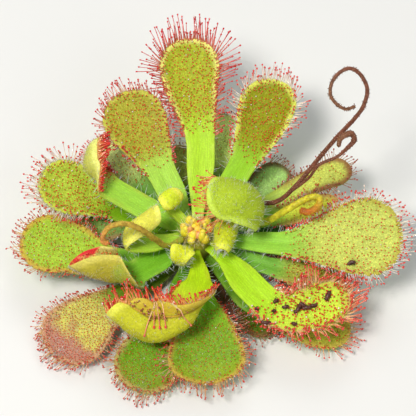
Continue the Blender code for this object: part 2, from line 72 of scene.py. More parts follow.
def curl(start, heading, radius, turns, shrink=0.55):
    """Rib points of a young leaf that rolls up and back over its own upper face."""
    turn = math.radians(heading)
    out = np.array((math.cos(turn), math.sin(turn), 0.0))
    centre = np.array(start) + UP * radius
    steps = max(3, round(turns * 8))
    points = []
    for i in range(steps + 1):
        angle = 2 * math.pi * turns * i / steps
        reach = radius * (1 - (1 - shrink) * i / steps)
        points.append(centre + reach * (out * math.sin(angle) - UP * math.cos(angle)))
    return points


LEAVES = {
    # The upper leaves, which rise from the stem.
    "leaf_back_tall": Leaf(
        88, 6.0, [(0.6, 17.1, 10.0), (-1.0, 26.5, 13.0), (-1.7, 34.1, 16.0)], 10.6, 4.8, reach=4.6
    ),
    "leaf_back_left": Leaf(
        116, 4.0, [(-3.6, 8.0, 5.0), (-7.2, 14.0, 8.8), (-10.6, 19.5, 12.0), (-13.2, 23.9, 14.0)], 11.2, 5.0,
        reach=3.0,
    ),
    "leaf_back_right": Leaf(
        60, 5.0, [(8.9, 15.0, 9.3), (12.0, 22.1, 11.5), (13.1, 27.6, 13.0)], 10.2, 4.6, wedge=0.35
    ),
    "leaf_right_long": Leaf(
        355, 5.0, [(8.5, -1.0, 6.3), (16.4, -2.2, 7.5), (28.4, -1.8, 8.8), (34.5, -1.4, 9.2)], 13.8, 4.2,
        round=5.8, shoulder=0.4, roll=20.0,
    ),
    "leaf_prey": Leaf(
        318, 6.0,
        [(5.3, -4.9, 6.3), (9.4, -10.3, 6.2), (14.1, -14.1, 5.4), (19.4, -13.6, 5.0), (25.1, -10.4, 5.7)],
        8.9, 5.4, cup=60.0, reach=3.8,
    ),
    "leaf_front_folded": Leaf(
        263, 6.0,
        [(0.4, -8.0, 6.6), (-0.5, -13.0, 7.7), (-2.2, -18.3, 7.5), (-7.6, -20.1, 7.4), (-14.6, -16.2, 8.9)],
        15.0, 4.6, round=9.0, shoulder=0.3, wedge=0.9, cup=270.0, roll=90.0, reach=3.6,
    ),
    "leaf_left_rolled": Leaf(
        204, 5.0, [(-8.0, -5.2, 5.6), (-12.5, -8.0, 5.7), (-17.0, -7.7, 6.6), (-21.3, -6.4, 7.6)], 13.8, 4.8,
        round=8.0, shoulder=0.7, wedge=1.0, cup=290.0, roll=35.0,
    ),
    "leaf_left_folded": Leaf(
        150, 5.0,
        [
            (-5.8, 3.4, 6.6), (-10.8, 6.4, 7.2), (-15.4, 9.0, 8.2),
            (-18.8, 11.4, 9.9), (-18.4, 14.6, 10.8), (-16.8, 16.8, 11.0),
        ],
        8.5, 4.6, round=7.0, shoulder=0.75, cup=120.0, roll=72.0, reach=2.8,
    ),
    # The middle leaves, which lie level.
    "leaf_left_upper": Leaf(
        166, 4.0, [(-13.9, 6.7, 4.6), (-20.7, 9.0, 6.2), (-27.1, 9.8, 8.0)], 10.5, 4.4
    ),
    "leaf_left_lower": Leaf(
        192, 3.0, [(-15.5, -3.2, 3.6), (-22.3, -1.2, 4.0), (-29.9, 0.1, 5.0)], 11.4, 4.0,
        shoulder=0.4, wedge=0.6, reach=2.8,
    ),
    "leaf_front": Leaf(
        270, 4.0, [(1.4, -12.9, 3.7), (1.6, -19.9, 3.3), (1.9, -26.0, 2.2)], 13.2, 3.6,
        round=4.0, shoulder=0.4, wedge=0.7, reach=3.2,
    ),
    "leaf_right_back": Leaf(
        26, 4.0, [(8.0, 3.6, 4.9), (15.2, 4.1, 6.4), (19.6, 4.9, 6.6), (24.4, 5.8, 6.8)], 5.4, 3.4,
        round=3.0, reach=2.2,
    ),
    "leaf_right_front": Leaf(
        340, 4.0, [(13.2, -5.0, 4.3), (19.1, -6.4, 4.0), (25.7, -7.6, 3.8)], 8.0, 3.4,
        round=4.0, reach=2.4,
    ),
    # The old lower leaves, which sink to the surface.
    "leaf_front_left": Leaf(
        219, 2.0, [(-6.6, -5.0, 1.9), (-11.2, -8.3, 2.3), (-18.0, -14.2, 1.8), (-23.6, -20.0, 0.5)],
        12.2, 4.4, reach=2.8,
    ),
    "leaf_front_low": Leaf(
        241, 3.0, [(-2.6, -7.2, 3.0), (-4.1, -13.6, 2.3), (-7.4, -20.2, 1.4), (-9.6, -26.6, 0.5)], 11.4, 4.0,
        reach=2.8,
    ),
    "leaf_prey_under": Leaf(
        310, 3.0, [(5.5, -6.9, 3.4), (8.9, -11.1, 3.2), (17.2, -14.4, 1.8), (25.7, -15.4, 0.8)], 8.0, 3.6,
        round=4.0, reach=2.8,
    ),
    "leaf_front_right_low": Leaf(
        298, 1.0, [(6.9, -8.4, 1.0), (9.8, -12.4, 0.9), (12.1, -16.2, 0.6)], 6.4, 3.2,
        round=3.5, reach=2.0,
    ),
    "leaf_right_low": Leaf(
        0, 1.0, [(13.3, 3.4, 2.8), (19.3, 3.9, 3.0), (25.3, 4.3, 2.6)], 9.0, 3.6,
        round=4.5, reach=2.0,
    ),
    "leaf_right_back_low": Leaf(
        33, 3.0,
        [(9.8, 6.2, 4.0), (13.5, 7.8, 5.3), (16.6, 9.1, 6.2), (22.0, 11.4, 7.0), (26.4, 13.0, 7.4)],
        5.6, 3.4, round=3.0, reach=2.0,
    ),
    "leaf_back_right_cupped": Leaf(
        46, 1.0, [(10.4, 10.6, 2.6), (13.2, 13.2, 2.9), (15.8, 15.2, 3.2)], 7.6, 3.4,
        round=3.6, cup=100.0, reach=2.0,
    ),
    "leaf_back_low": Leaf(
        79, 2.0, [(2.9, 16.2, 3.3), (4.0, 22.2, 3.6), (4.5, 27.0, 3.0)], 9.0, 4.0,
        round=4.5, reach=1.6,
    ),
    "leaf_back_small": Leaf(
        104, 1.0, [(-2.3, 13.1, 2.0), (-3.0, 17.4, 2.0), (-3.5, 21.3, 1.6)], 6.0, 3.2,
        round=3.0, reach=1.6,
    ),
    "leaf_back_left_low": Leaf(
        124, 2.0, [(-9.4, 11.4, 3.6), (-13.4, 16.2, 3.8), (-18.2, 21.2, 1.8)], 8.0, 3.8,
        round=4.0, reach=2.0,
    ),
    "leaf_left_low": Leaf(
        172, 2.0, [(-12.3, 4.4, 2.6), (-17.4, 4.4, 2.4), (-21.4, 4.9, 2.0)], 8.0, 3.6,
        round=4.0, reach=1.6,
    ),
    # The dead leaves, dried narrow.
    "leaf_dead_left": Leaf(
        184, 1.0, [(-8.0, -0.6, 1.2), (-13.0, -0.2, 1.4), (-19.0, 0.4, 1.0)], 3.4, 2.6, round=2.0,
        slot="leaf_dead",
    ),
    "leaf_dead_front": Leaf(
        284, 2.0, [(3.9, -9.4, 2.3), (4.9, -14.0, 2.3), (6.2, -17.9, 2.0)], 3.6, 2.4, round=2.0,
        slot="leaf_dead",
    ),
    "leaf_dead_right": Leaf(
        330, 2.0, [(11.0, -3.2, 2.4), (15.7, -5.0, 2.4), (19.6, -6.8, 2.0)], 6.0, 3.0,
        round=3.0, reach=1.4, slot="leaf_dead",
    ),
    # The young leaves, still rolled over the crown.
    "young_back_right": Leaf(
        24, 7.0, [(7.6, 2.0, 8.4), (10.9, 0.6, 12.6), (8.0, 1.2, 17.2), (1.8, 2.6, 17.8)], 10.4, 3.6,
        round=4.0, shoulder=0.3, wedge=0.5, cup=140.0, reach=2.8, slot="leaf_young",
    ),
    "young_right": Leaf(
        336, 7.0, curl((4.4, -2.2, 7.9), 350, 2.1, 1.1, 0.35), 6.4, 5.2, round=2.0, shoulder=0.2,
        slot="leaf_young",
    ),
    "young_back_left": Leaf(
        130, 7.0, curl((-4.4, 4.6, 8.2), 130, 2.0, 0.8), 4.4, 2.0, round=1.5, slot="leaf_young"
    ),
    "young_left": Leaf(
        190, 7.0, [(-7.8, -2.3, 7.9), (-11.9, -2.8, 9.6), (-11.0, -1.5, 12.3), (-6.4, 1.3, 14.2)], 7.5, 3.8,
        round=3.0, cup=300.0, slot="leaf_young",
    ),
    "young_front": Leaf(
        244, 7.0, curl((-2.4, -5.2, 7.4), 244, 1.8, 0.8), 4.2, 2.0, round=1.5, slot="leaf_young"
    ),
}

# A flower stalk runs through its points, with its widths read along it and perhaps a side stalk.
Scape = namedtuple("Scape", "points widths slot side", defaults=(None,))

SCAPES = {
    "scape_old": Scape(
        [
            (1.6, 2.7, 7.2), (7.0, 5.4, 8.2), (13.3, 4.6, 10.0), (16.9, 5.4, 14.5),
            (20.2, 7.4, 19.0), (23.5, 9.2, 23.5), (25.8, 10.4, 26.2), (27.3, 11.3, 29.0),
            (27.8, 13.3, 31.0), (26.4, 15.3, 32.5), (24.8, 15.8, 33.0), (23.0, 15.0, 32.5),
            (21.9, 13.5, 31.5), (21.9, 12.0, 30.5), (23.0, 11.0, 29.5), (24.5, 10.5, 29.0),
            (26.0, 11.1, 29.2),
        ],
        [1.0, 0.9, 0.8, 0.7, 0.6],
        "scape_brown",
        Scape(
            [
                (15.2, 4.9, 12.0), (18.6, 4.9, 17.0), (20.3, 5.2, 20.7), (23.1, 5.9, 21.9),
                (24.8, 6.7, 23.4), (25.9, 7.6, 24.4), (25.3, 8.2, 25.4), (23.6, 7.5, 24.9), (23.3, 6.7, 23.4),
            ],
            [0.6, 0.6, 0.6, 1.0, 1.2, 0.8],
            "scape_brown",
        ),
    ),
    "scape_young_left": Scape(
        [
            (-2.3, -1.7, 8.4), (-4.8, -3.6, 9.2), (-6.9, -4.1, 12.3), (-9.1, -4.5, 16.0),
            (-11.6, -4.3, 17.5), (-14.1, -4.6, 17.1), (-15.3, -5.0, 15.0), (-15.4, -5.5, 13.8),
            (-14.5, -5.6, 13.3),
        ],
        [1.1, 0.9, 0.8],
        "scape_green",
    ),
    "scape_young_right": Scape(
        [
            (2.4, 1.5, 6.0), (7.8, 2.6, 6.7), (11.5, 1.4, 8.8), (14.8, 1.6, 12.0), (19.2, 3.1, 14.0),
            (20.5, 2.7, 14.0), (20.2, 1.6, 13.5), (18.5, 0.7, 13.0), (17.1, 1.3, 12.8),
        ],
        [0.8, 1.2, 1.1, 1.2, 1.1],
        "scape_green",
    ),
}


def smooth(share):
    """An S-shaped step from 0 to 1 as share goes from 0 to 1."""
    held = np.clip(share, 0.0, 1.0)
    return held * held * (3.0 - 2.0 * held)


def spline_through(points, steps=24):
    """Points along a smooth curve that passes through the points given."""
    known = np.array(points, float)
    known = np.vstack([2 * known[0] - known[1], known, 2 * known[-1] - known[-2]])
    knots = np.concatenate([[0.0], np.cumsum(np.linalg.norm(np.diff(known, axis=0), axis=1) ** 0.5)])
    pieces = []
    for i in range(1, len(known) - 2):
        at = np.linspace(knots[i], knots[i + 1], steps, endpoint=False)[:, None]
        k0, k1, k2, k3 = knots[i - 1 : i + 3]
        p0, p1, p2, p3 = known[i - 1 : i + 3]
        a1 = (k1 - at) / (k1 - k0) * p0 + (at - k0) / (k1 - k0) * p1
        a2 = (k2 - at) / (k2 - k1) * p1 + (at - k1) / (k2 - k1) * p2
        a3 = (k3 - at) / (k3 - k2) * p2 + (at - k2) / (k3 - k2) * p3
        b1 = (k2 - at) / (k2 - k0) * a1 + (at - k0) / (k2 - k0) * a2
        b2 = (k3 - at) / (k3 - k1) * a2 + (at - k1) / (k3 - k1) * a3
        pieces.append((k2 - at) / (k2 - k1) * b1 + (at - k1) / (k2 - k1) * b2)
    return np.vstack([*pieces, known[-2]])


def bell(distance, width):
    """1 at no distance, falling softly to 0 past the width."""
    return np.exp(-((distance / width) ** 2))


def unit(vectors):
    """The vectors at length 1."""
    return vectors / np.linalg.norm(vectors, axis=-1, keepdims=True)


class Blade:
    """The middle surface of a leaf: a strip that is bent along its rib and across it."""

    def __init__(self, leaf):
        self.leaf = leaf
        turn = math.radians(leaf.heading)
        root = (ROOT_RADIUS * math.cos(turn), ROOT_RADIUS * math.sin(turn), leaf.level)
        self.place = spline_through([root, *leaf.rib])
        steps = np.diff(self.place, axis=0)
        self.station = np.concatenate([[0.0], np.cumsum(np.linalg.norm(steps, axis=1))])
        self.length = self.station[-1]
        self.widest = self.length - leaf.round
        tangent = unit(np.gradient(self.place, self.station, axis=0))
        side = unit(np.cross((0.0, 0.0, 1.0), tangent[0]))
        sides = []
        for direction in tangent:
            side = unit(side - direction * (side @ direction))
            sides.append(side)
        sides = np.array(sides)
        normals = np.cross(tangent, sides)
        share = (self.station / self.widest - leaf.shoulder) / (1 - leaf.shoulder)
        turned = np.radians(leaf.roll) * smooth(share)[:, None]
        self.tangent = tangent
        self.side = sides * np.cos(turned) + normals * np.sin(turned)
        self.normal = normals * np.cos(turned) - sides * np.sin(turned)

    def half_width(self, along):
        """Half the blade's width, at a distance along the rib that is short of the round tip."""
        leaf = self.leaf
        share = along / self.widest
        spread = np.clip((share - leaf.shoulder) / (1 - leaf.shoulder), 0.0, 1.0)
        shape = (1 - leaf.wedge) * smooth(spread) + leaf.wedge * np.sin(spread * math.pi / 2)
        narrow = BASE_WIDTH + (leaf.stalk - BASE_WIDTH) * smooth(share / BASE_SHARE)
        return 0.5 * (narrow + (leaf.lamina - leaf.stalk) * shape)

    def flat(self, row, column):
        """(along, across) on the flat leaf: row goes 0 to 1 to the widest place and on to 2 at the tip."""
        body = np.clip(row, 0.0, 1.0)
        tip = np.clip(row - 1.0, 0.0, 1.0)
        along = self.widest * body + self.leaf.round * tip * np.sqrt(1 - column**2 / 2)
        across = column * self.half_width(self.widest * body) * np.sqrt(1 - tip**2 / 2)
        return along, across

    def bent(self, along, across):
        """(place, tangent, side, normal) on the bent leaf, for a place on the flat one."""
        leaf = self.leaf
        place, tangent, side, normal = (
            np.stack([np.interp(along, self.station, table[:, axis]) for axis in range(3)], -1)
            for table in (self.place, self.tangent, self.side, self.normal)
        )
        opened = smooth((along / self.widest - leaf.shoulder) / (1 - leaf.shoulder))
        stalk_bend = math.radians(STALK_CUP) / leaf.stalk
        blade_bend = math.radians(leaf.cup) / leaf.lamina
        bend = (stalk_bend + (blade_bend - stalk_bend) * opened)[..., None]
        angle = bend * across[..., None]
        sine, cosine = np.sin(angle), np.cos(angle)
        place = place + side * sine / bend + normal * (1 - cosine) / bend
        return place, tangent, side * cosine + normal * sine, normal * cosine - side * sine

    def at(self, row, column):
        """(place, tangent, side, normal) on the bent leaf at a row and a column."""
        return self.bent(*self.flat(np.asarray(row, float), np.asarray(column, float)))


# How a leaf looks, with colours as (red, green, blue) on the screen's scale of 0 to 255: its
# stalk, its blade's upper face, rim, tip and under face. glands is how many short red tentacles
# stand on the blade and fringe how many long ones round it, of one finish, from the place
# begins on, with the left and right rows at shares of full length. unruly is how much they
# stray, dish how far the margin rises, slim how thick the tentacles are, and hairs how many white
# hairs the stalk has. aim is a direction that the long tentacles turn to, with how strongly. fuzz
# is how many fine short hairs stand on the under face, and frost on the upper one's outer part.
Look = namedtuple(
    "Look",
    "stalk blade rim tip back glands fringe finish begins left right unruly dish slim hairs aim fuzz frost",
    defaults=(
        (150, 206, 50), (180, 184, 54), (204, 208, 74), None, (146, 178, 66), 180, 90, "pale",
        0.1, 1.0, 1.0, 0.3, 0.45, 1.0, 50, None, 0, 0,
    ),
)
WITHERED = {"finish": "brown", "slim": 0.7}
FOLDED_SHUT = {"glands": 0, "fringe": 0, "dish": 0.0}
LOOKS = {
    "leaf_back_tall": Look(
        (184, 226, 56), (178, 190, 40), (250, 252, 140), glands=330, fringe=260, finish="red", unruly=0.12
    ),
    "leaf_back_left": Look(
        (188, 234, 92), (178, 176, 50), (208, 210, 84), glands=240, fringe=190, finish="rose", left=0.72,
        right=0.72, unruly=0.2,
    ),
    "leaf_back_right": Look(
        (154, 206, 44), (152, 158, 4), (236, 244, 108), glands=280, fringe=190, left=0.85, right=0.85,
        unruly=0.12,
    ),
    "leaf_right_long": Look(
        (158, 216, 72), (204, 215, 98), (192, 180, 68), glands=300, fringe=300, finish="white", left=0.7,
        right=0.7, unruly=0.12, slim=0.9, hairs=120,
    ),
    "leaf_prey": Look(
        (180, 226, 38), (208, 244, 66), (214, 212, 88), None, (206, 190, 60), glands=230, fringe=240,
        finish="salmon", unruly=0.45, slim=1.5, hairs=110,
    ),
    "leaf_front_folded": Look(
        (184, 224, 24), (214, 170, 50), (226, 160, 76), None, (200, 200, 42), glands=60, fringe=250,
        finish="scarlet", right=0.5, unruly=0.35, dish=0.1, slim=1.15, hairs=110,
        aim=(-0.1, 0.75, 0.65, 0.8), fuzz=320,
    ),
    "leaf_left_rolled": Look(
        (126, 190, 44), (216, 210, 110), (232, 220, 130), (232, 56, 60), (186, 176, 56), glands=200,
        fringe=0, dish=0.1, hairs=130, fuzz=600,
    ),
    "leaf_left_folded": Look(
        (160, 212, 66), (250, 255, 130), (218, 120, 70), None, (204, 206, 96), glands=150, fringe=230,
        finish="scarlet", begins=0.3, dish=0.1, unruly=0.35, hairs=60, aim=(0.9, 0.2, 0.35, 0.7), fuzz=260,
    ),
    "leaf_left_upper": Look(
        (124, 172, 20), (180, 202, 58), (208, 218, 80), glands=240, fringe=180, unruly=0.2
    ),
    "leaf_left_lower": Look(
        (128, 186, 44), (174, 208, 56), (214, 176, 74), glands=200, fringe=210, finish="tan", left=0.8,
        right=0.8, unruly=0.5, slim=0.75, frost=160,
    ),
    "leaf_front": Look(
        (150, 222, 50), (128, 168, 28), (206, 172, 72), (150, 178, 40), glands=240, fringe=240,
        finish="tan", left=0.85, right=0.85, unruly=0.5, slim=0.75, hairs=50, frost=260,
    ),
    "leaf_right_back": Look(
        (140, 196, 56), (204, 212, 56), (196, 150, 90), glands=60, fringe=80, finish="tan", slim=0.75
    ),
    "leaf_right_front": Look(
        (130, 190, 70), (196, 196, 76), (200, 160, 96), glands=110, fringe=110, finish="salmon", slim=0.8
    ),
    "leaf_front_left": Look(
        (104, 140, 20), (214, 212, 100), (206, 160, 122), (196, 142, 118), (186, 140, 116), glands=620,
        fringe=240, finish="tan", left=0.75, right=0.75, unruly=0.6, slim=0.7, hairs=20, frost=900,
    ),
    "leaf_front_low": Look(
        (96, 154, 22), (118, 166, 12), (196, 172, 104), (138, 166, 40), glands=260, fringe=230,
        finish="tan", left=0.78, right=0.78, unruly=0.6, slim=0.7, hairs=30, frost=260,
    ),
    "leaf_prey_under": Look(
        (110, 160, 40), (192, 200, 66), (206, 192, 84), glands=80, fringe=130, finish="salmon",
        unruly=0.6, slim=0.8,
    ),
    "leaf_front_right_low": Look(
        (76, 140, 22), (92, 124, 14), (130, 92, 56), glands=90, fringe=90, **WITHERED
    ),
    "leaf_right_low": Look((74, 130, 46), (98, 140, 50), (120, 100, 56), glands=60, fringe=60, **WITHERED),
    "leaf_right_back_low": Look(
        (178, 206, 80), (202, 212, 92), (150, 82, 58), glands=40, fringe=90, **WITHERED
    ),
    "leaf_back_right_cupped": Look(
        (134, 170, 84), (172, 212, 120), (104, 66, 48), None, (126, 164, 84), glands=20, fringe=90,
        finish="brown", slim=0.6,
    ),
    "leaf_back_low": Look(
        (124, 166, 66), (210, 232, 126), (200, 196, 116), glands=40, fringe=110, finish="brown", slim=0.6,
        frost=120,
    ),
    "leaf_back_small": Look(
        (100, 140, 50), (160, 168, 76), (166, 130, 84), glands=20, fringe=60, finish="brown", slim=0.6
    ),
    "leaf_back_left_low": Look(
        (110, 160, 60), (206, 220, 132), (190, 140, 110), glands=90, fringe=140, finish="rose", slim=0.6,
        hairs=90, frost=160,
    ),
    "leaf_left_low": Look((110, 160, 64), (136, 168, 80), (170, 130, 94), glands=50, fringe=80, **WITHERED),
    "leaf_dead_left": Look(
        (66, 40, 34), (70, 44, 36), (56, 34, 28), None, (60, 38, 32), glands=0, fringe=0, hairs=20
    ),
    "leaf_dead_front": Look(
        (110, 76, 50), (140, 98, 76), (108, 66, 50), None, (106, 70, 52), glands=20, fringe=70, **WITHERED
    ),
    "leaf_dead_right": Look(
        (116, 72, 60), (176, 112, 98), (140, 80, 70), None, (120, 78, 66), glands=90, fringe=80,
        **WITHERED,
    ),
    "young_back_right": Look(
        (160, 200, 40), (206, 210, 60), (206, 222, 120), None, (176, 200, 44), glands=0, fringe=90,
        finish="scarlet", begins=0.9, left=1.35, right=1.35, unruly=0.45, dish=0.0, hairs=160, slim=0.85,
        fuzz=420,
    ),
    "young_right": Look(
        (180, 200, 40), (224, 176, 84), (206, 220, 90), None, (208, 220, 46), **FOLDED_SHUT, hairs=120,
        fuzz=260,
    ),
    "young_back_left": Look(
        (176, 210, 50), (206, 214, 60), (206, 210, 80), None, (218, 236, 50), **FOLDED_SHUT, hairs=30,
        fuzz=120,
    ),
    "young_left": Look(
        (170, 214, 60), (212, 210, 64), (222, 196, 90), None, (226, 224, 84), **FOLDED_SHUT, hairs=40,
        fuzz=140,
    ),
    "young_front": Look(
        (190, 206, 50), (210, 214, 50), (206, 170, 70), None, (208, 216, 34), **FOLDED_SHUT, hairs=50,
        fuzz=130,
    ),
}

# The under face of the folded leaf has a crease along it, so far from the rib, between swells.
# Each swell has its distance from the crease, its width and its height.
CREASED = "leaf_front_folded"
CREASE_ACROSS = 3.9
CREASE_WIDTH = 0.7
CREASE_DEPTH = 0.9
CREASE_START = 12.0
CREASE_FADE = 4.0
SWELLS = ((-2.3, 1.4, 1.0), (1.9, 1.0, 0.6))
SWELL_SHARE = 0.6
CREASE_COUNT = 46
DRAPED_ALONG = np.array([16.0, 18.0, 19.8, 21.5, 23.6])
# A painted shadow: the dark brown painted along the crease of the folded leaf.
CREASE_SHADE = (140, 100, 30)
FLAP_OCHRE = (204, 160, 52)
# The rolled leaf is red inside, at its tip only, and green below, where its stalk starts.
ROLLED = "leaf_left_rolled"
ROLLED_NECK = (150, 180, 66)

# The skin of a leaf: half its thickness at the margin and how much more further in, the groove
# of its stalk, its ripples and the raised margin.
EDGE_HALF = 0.12
MIDDLE_MORE = 0.24
EDGE_ROUND = 0.7
GROOVE_DEPTH = 0.22
GROOVE_WIDTH = 0.5
RIPPLE = 0.12
DISH_WIDTH = 1.6
RIM_WIDTH = 1.1
SHOULDER_HASTE = 1.3
LARGE_BLADE = 9.5
LARGE_GRID = (60, 26)
SMALL_GRID = (40, 16)
PATCH_SIZE = 2.4
GRAIN_SIZE = 0.4
BEAD_SIZE = 0.32
VEINS_ACROSS = 6.0
VEINS_ALONG = 0.35
LIGHT_SPREAD = (1.0, 0.8, 0.3)
LIGHT_DEPTH = 0.5
DEW_ROUGHNESS = 0.08

# The colours of a tentacle: at its root, along its stalk and at its head.
TENTACLES = {
    "red": ((232, 140, 116), (222, 66, 86), (208, 34, 38)),
    "rose": ((226, 184, 150), (222, 118, 118), (206, 46, 42)),
    "pale": ((242, 238, 212), (240, 190, 180), (220, 44, 42)),
    "white": ((246, 246, 226), (244, 226, 212), (220, 50, 44)),
    "salmon": ((246, 214, 150), (246, 126, 104), (226, 60, 48)),
    "scarlet": ((246, 170, 96), (240, 62, 42), (216, 30, 30)),
    "tan": ((230, 190, 132), (218, 146, 112), (200, 62, 46)),
    "brown": ((172, 134, 100), (172, 116, 96), (160, 66, 54)),
}
GLAND_COLOURS = ((214, 180, 70), (224, 120, 60), (226, 58, 36))
# A painted highlight: the near-white colour that some tentacle heads take for the glint on their dew drops,
# and the number that picks which heads get it.
DEW_GLINT = (250, 226, 214)
GLINT_MIX = 997.0

# Where a tentacle's rings lie: first along its stalk, as shares, then along its head.
STALK_STOPS = np.array([0.0, 0.34, 0.68, 1.0])
HEAD_STOPS = np.array([0.25, 0.6, 0.9, 1.0])
STALK_WIDTHS = np.array([1.0, 0.7, 0.58, 0.52])
HEAD_WIDTHS = np.array([0.8, 1.0, 0.62])
# The rows round a margin: their shares of the tentacles, how far in, how raised and how long.
RANK_SHARES = (0.36, 0.34, 0.3)
RANK_INWARD = np.array([0.0, 0.035, 0.09])
RANK_LIFT = np.array([0.0, 0.35, 0.75])
RANK_REACH = np.array([0.96, 0.72, 0.46])
GLAND_SPACING = 0.34
GLAND_MARGIN = 0.4
GLAND_TRIES = 7
FRINGE_CLEARANCE = 0.35
HAIR_CLEARANCE = 0.15
HAIR_STOPS = (0.0, 0.5, 1.0)
HAIR_RADII = np.array([0.055, 0.035])
FUZZ_RADII = np.array([0.028, 0.018])
ASKEW = np.array([0.31, 0.53, 0.79])

SCAPE_GIRTH = {"scape_brown": 0.42, "scape_green": 0.5}
SCAPE_COLOURS = {
    # From the foot of a flower stalk to its tip, then its speckles.
    "scape_old": ((124, 72, 56), (120, 68, 48), (132, 88, 60), (190, 148, 116)),
    "scape_young_left": ((150, 160, 44), (196, 168, 62), (240, 150, 84), (214, 120, 60)),
    "scape_young_right": ((176, 196, 52), (214, 206, 48), (196, 104, 36), (206, 120, 36)),
}

SCAPE_STEPS = 10
BEADS = 260
SIDE_BEADS = 120
BEAD_STOPS = (0.0, 0.5, 0.8, 1.0)
BEAD_RADII = np.array([0.04, 0.075, 0.06])

BUDS = 19
GOLDEN_TURN = math.radians(137.5)
BUD_COLOURS = ((246, 226, 60), (250, 204, 72), (242, 160, 112), (250, 230, 120))
BUD_STOPS = (0.0, 0.12, 0.3, 0.5, 0.7, 0.86, 0.96, 1.0)
BUD_WIDTHS = np.array([0.55, 0.82, 0.98, 1.0, 0.86, 0.6, 0.3])
STIPULES = 380
STIPULE_STOPS = (0.0, 0.4, 0.75, 1.0)
STIPULE_RADII = np.array([0.06, 0.045, 0.025])

# Caught insects: the leaf that holds each, where it lies along and across that leaf, its length
# and how far it is turned from the leaf's run.
PREY = (
    ("leaf_prey", 15.7, 1.2, 1.3, 70),
    ("leaf_prey", 18.0, 0.9, 1.2, 30),
    ("leaf_prey", 20.4, 0.8, 2.0, 25),
    ("leaf_prey", 21.3, 1.2, 1.3, -50),
    ("leaf_prey", 21.9, 0.6, 1.7, 10),
    ("leaf_prey", 23.2, 0.7, 1.3, -30),
    ("leaf_prey", 26.3, 1.1, 1.9, 35),
    ("leaf_prey", 16.4, -3.6, 1.7, 20),
    ("leaf_prey", 14.3, -2.4, 1.0, 60),
    ("leaf_prey", 16.4, -0.7, 0.7, 0),
    ("leaf_prey", 19.4, -2.4, 0.8, 10),
    ("leaf_right_long", 23.3, -4.3, 1.6, 40),
)
PREY_LEGS = 5
PREY_LEG_RADII = np.array([0.06, 0.045])

# Where the random draws of each kind of piece start.
LEAF_SEED = 7
SCAPE_SEED = 11
BUD_SEED = 5
STIPULE_SEED = 3
PREY_SEED = 9

# Lamps: place, size, power and colour. They and the camera look at the plant's middle.
LAMPS = (
    ("key", (-0.2, -0.16, 0.52), 0.16, 2.8, (1.0, 0.97, 0.92)),
    ("fill", (0.45, -0.3, 0.4), 0.4, 0.7, (0.94, 0.97, 1.0)),
    ("back", (0.1, 0.5, 0.45), 0.3, 1.0, (1.0, 1.0, 1.0)),
)
LAMP_TARGET = (0.002, 0.003, 0.006)
FLOOR_COLOUR = (0.8, 0.8, 0.78, 1.0)
SKY_COLOUR = (0.9, 0.94, 1.0, 1.0)
SKY_STRENGTH = 0.26
LENS = 203.5
SENSOR_WIDTH = 36.0
CAMERA_TARGET = (0.0019, 0.0059, 0.0060)
CAMERA_DISTANCE = 0.4
CAMERA_ELEVATION = 58.0


def screen(colour):
    """A colour on the screen's scale, as the shaders take it."""
    share = np.array(colour, float) / 255.0
    linear = np.where(share <= 0.04045, share / 12.92, ((share + 0.055) / 1.055) ** 2.4)
    return (*(float(value) for value in linear), 1.0)


def tinted(colour, gain, lift=0.0):
    """A screen colour made lighter or darker, as the shaders take it."""
    return (*(min(1.0, gain * value + lift) for value in screen(colour)[:3]), 1.0)


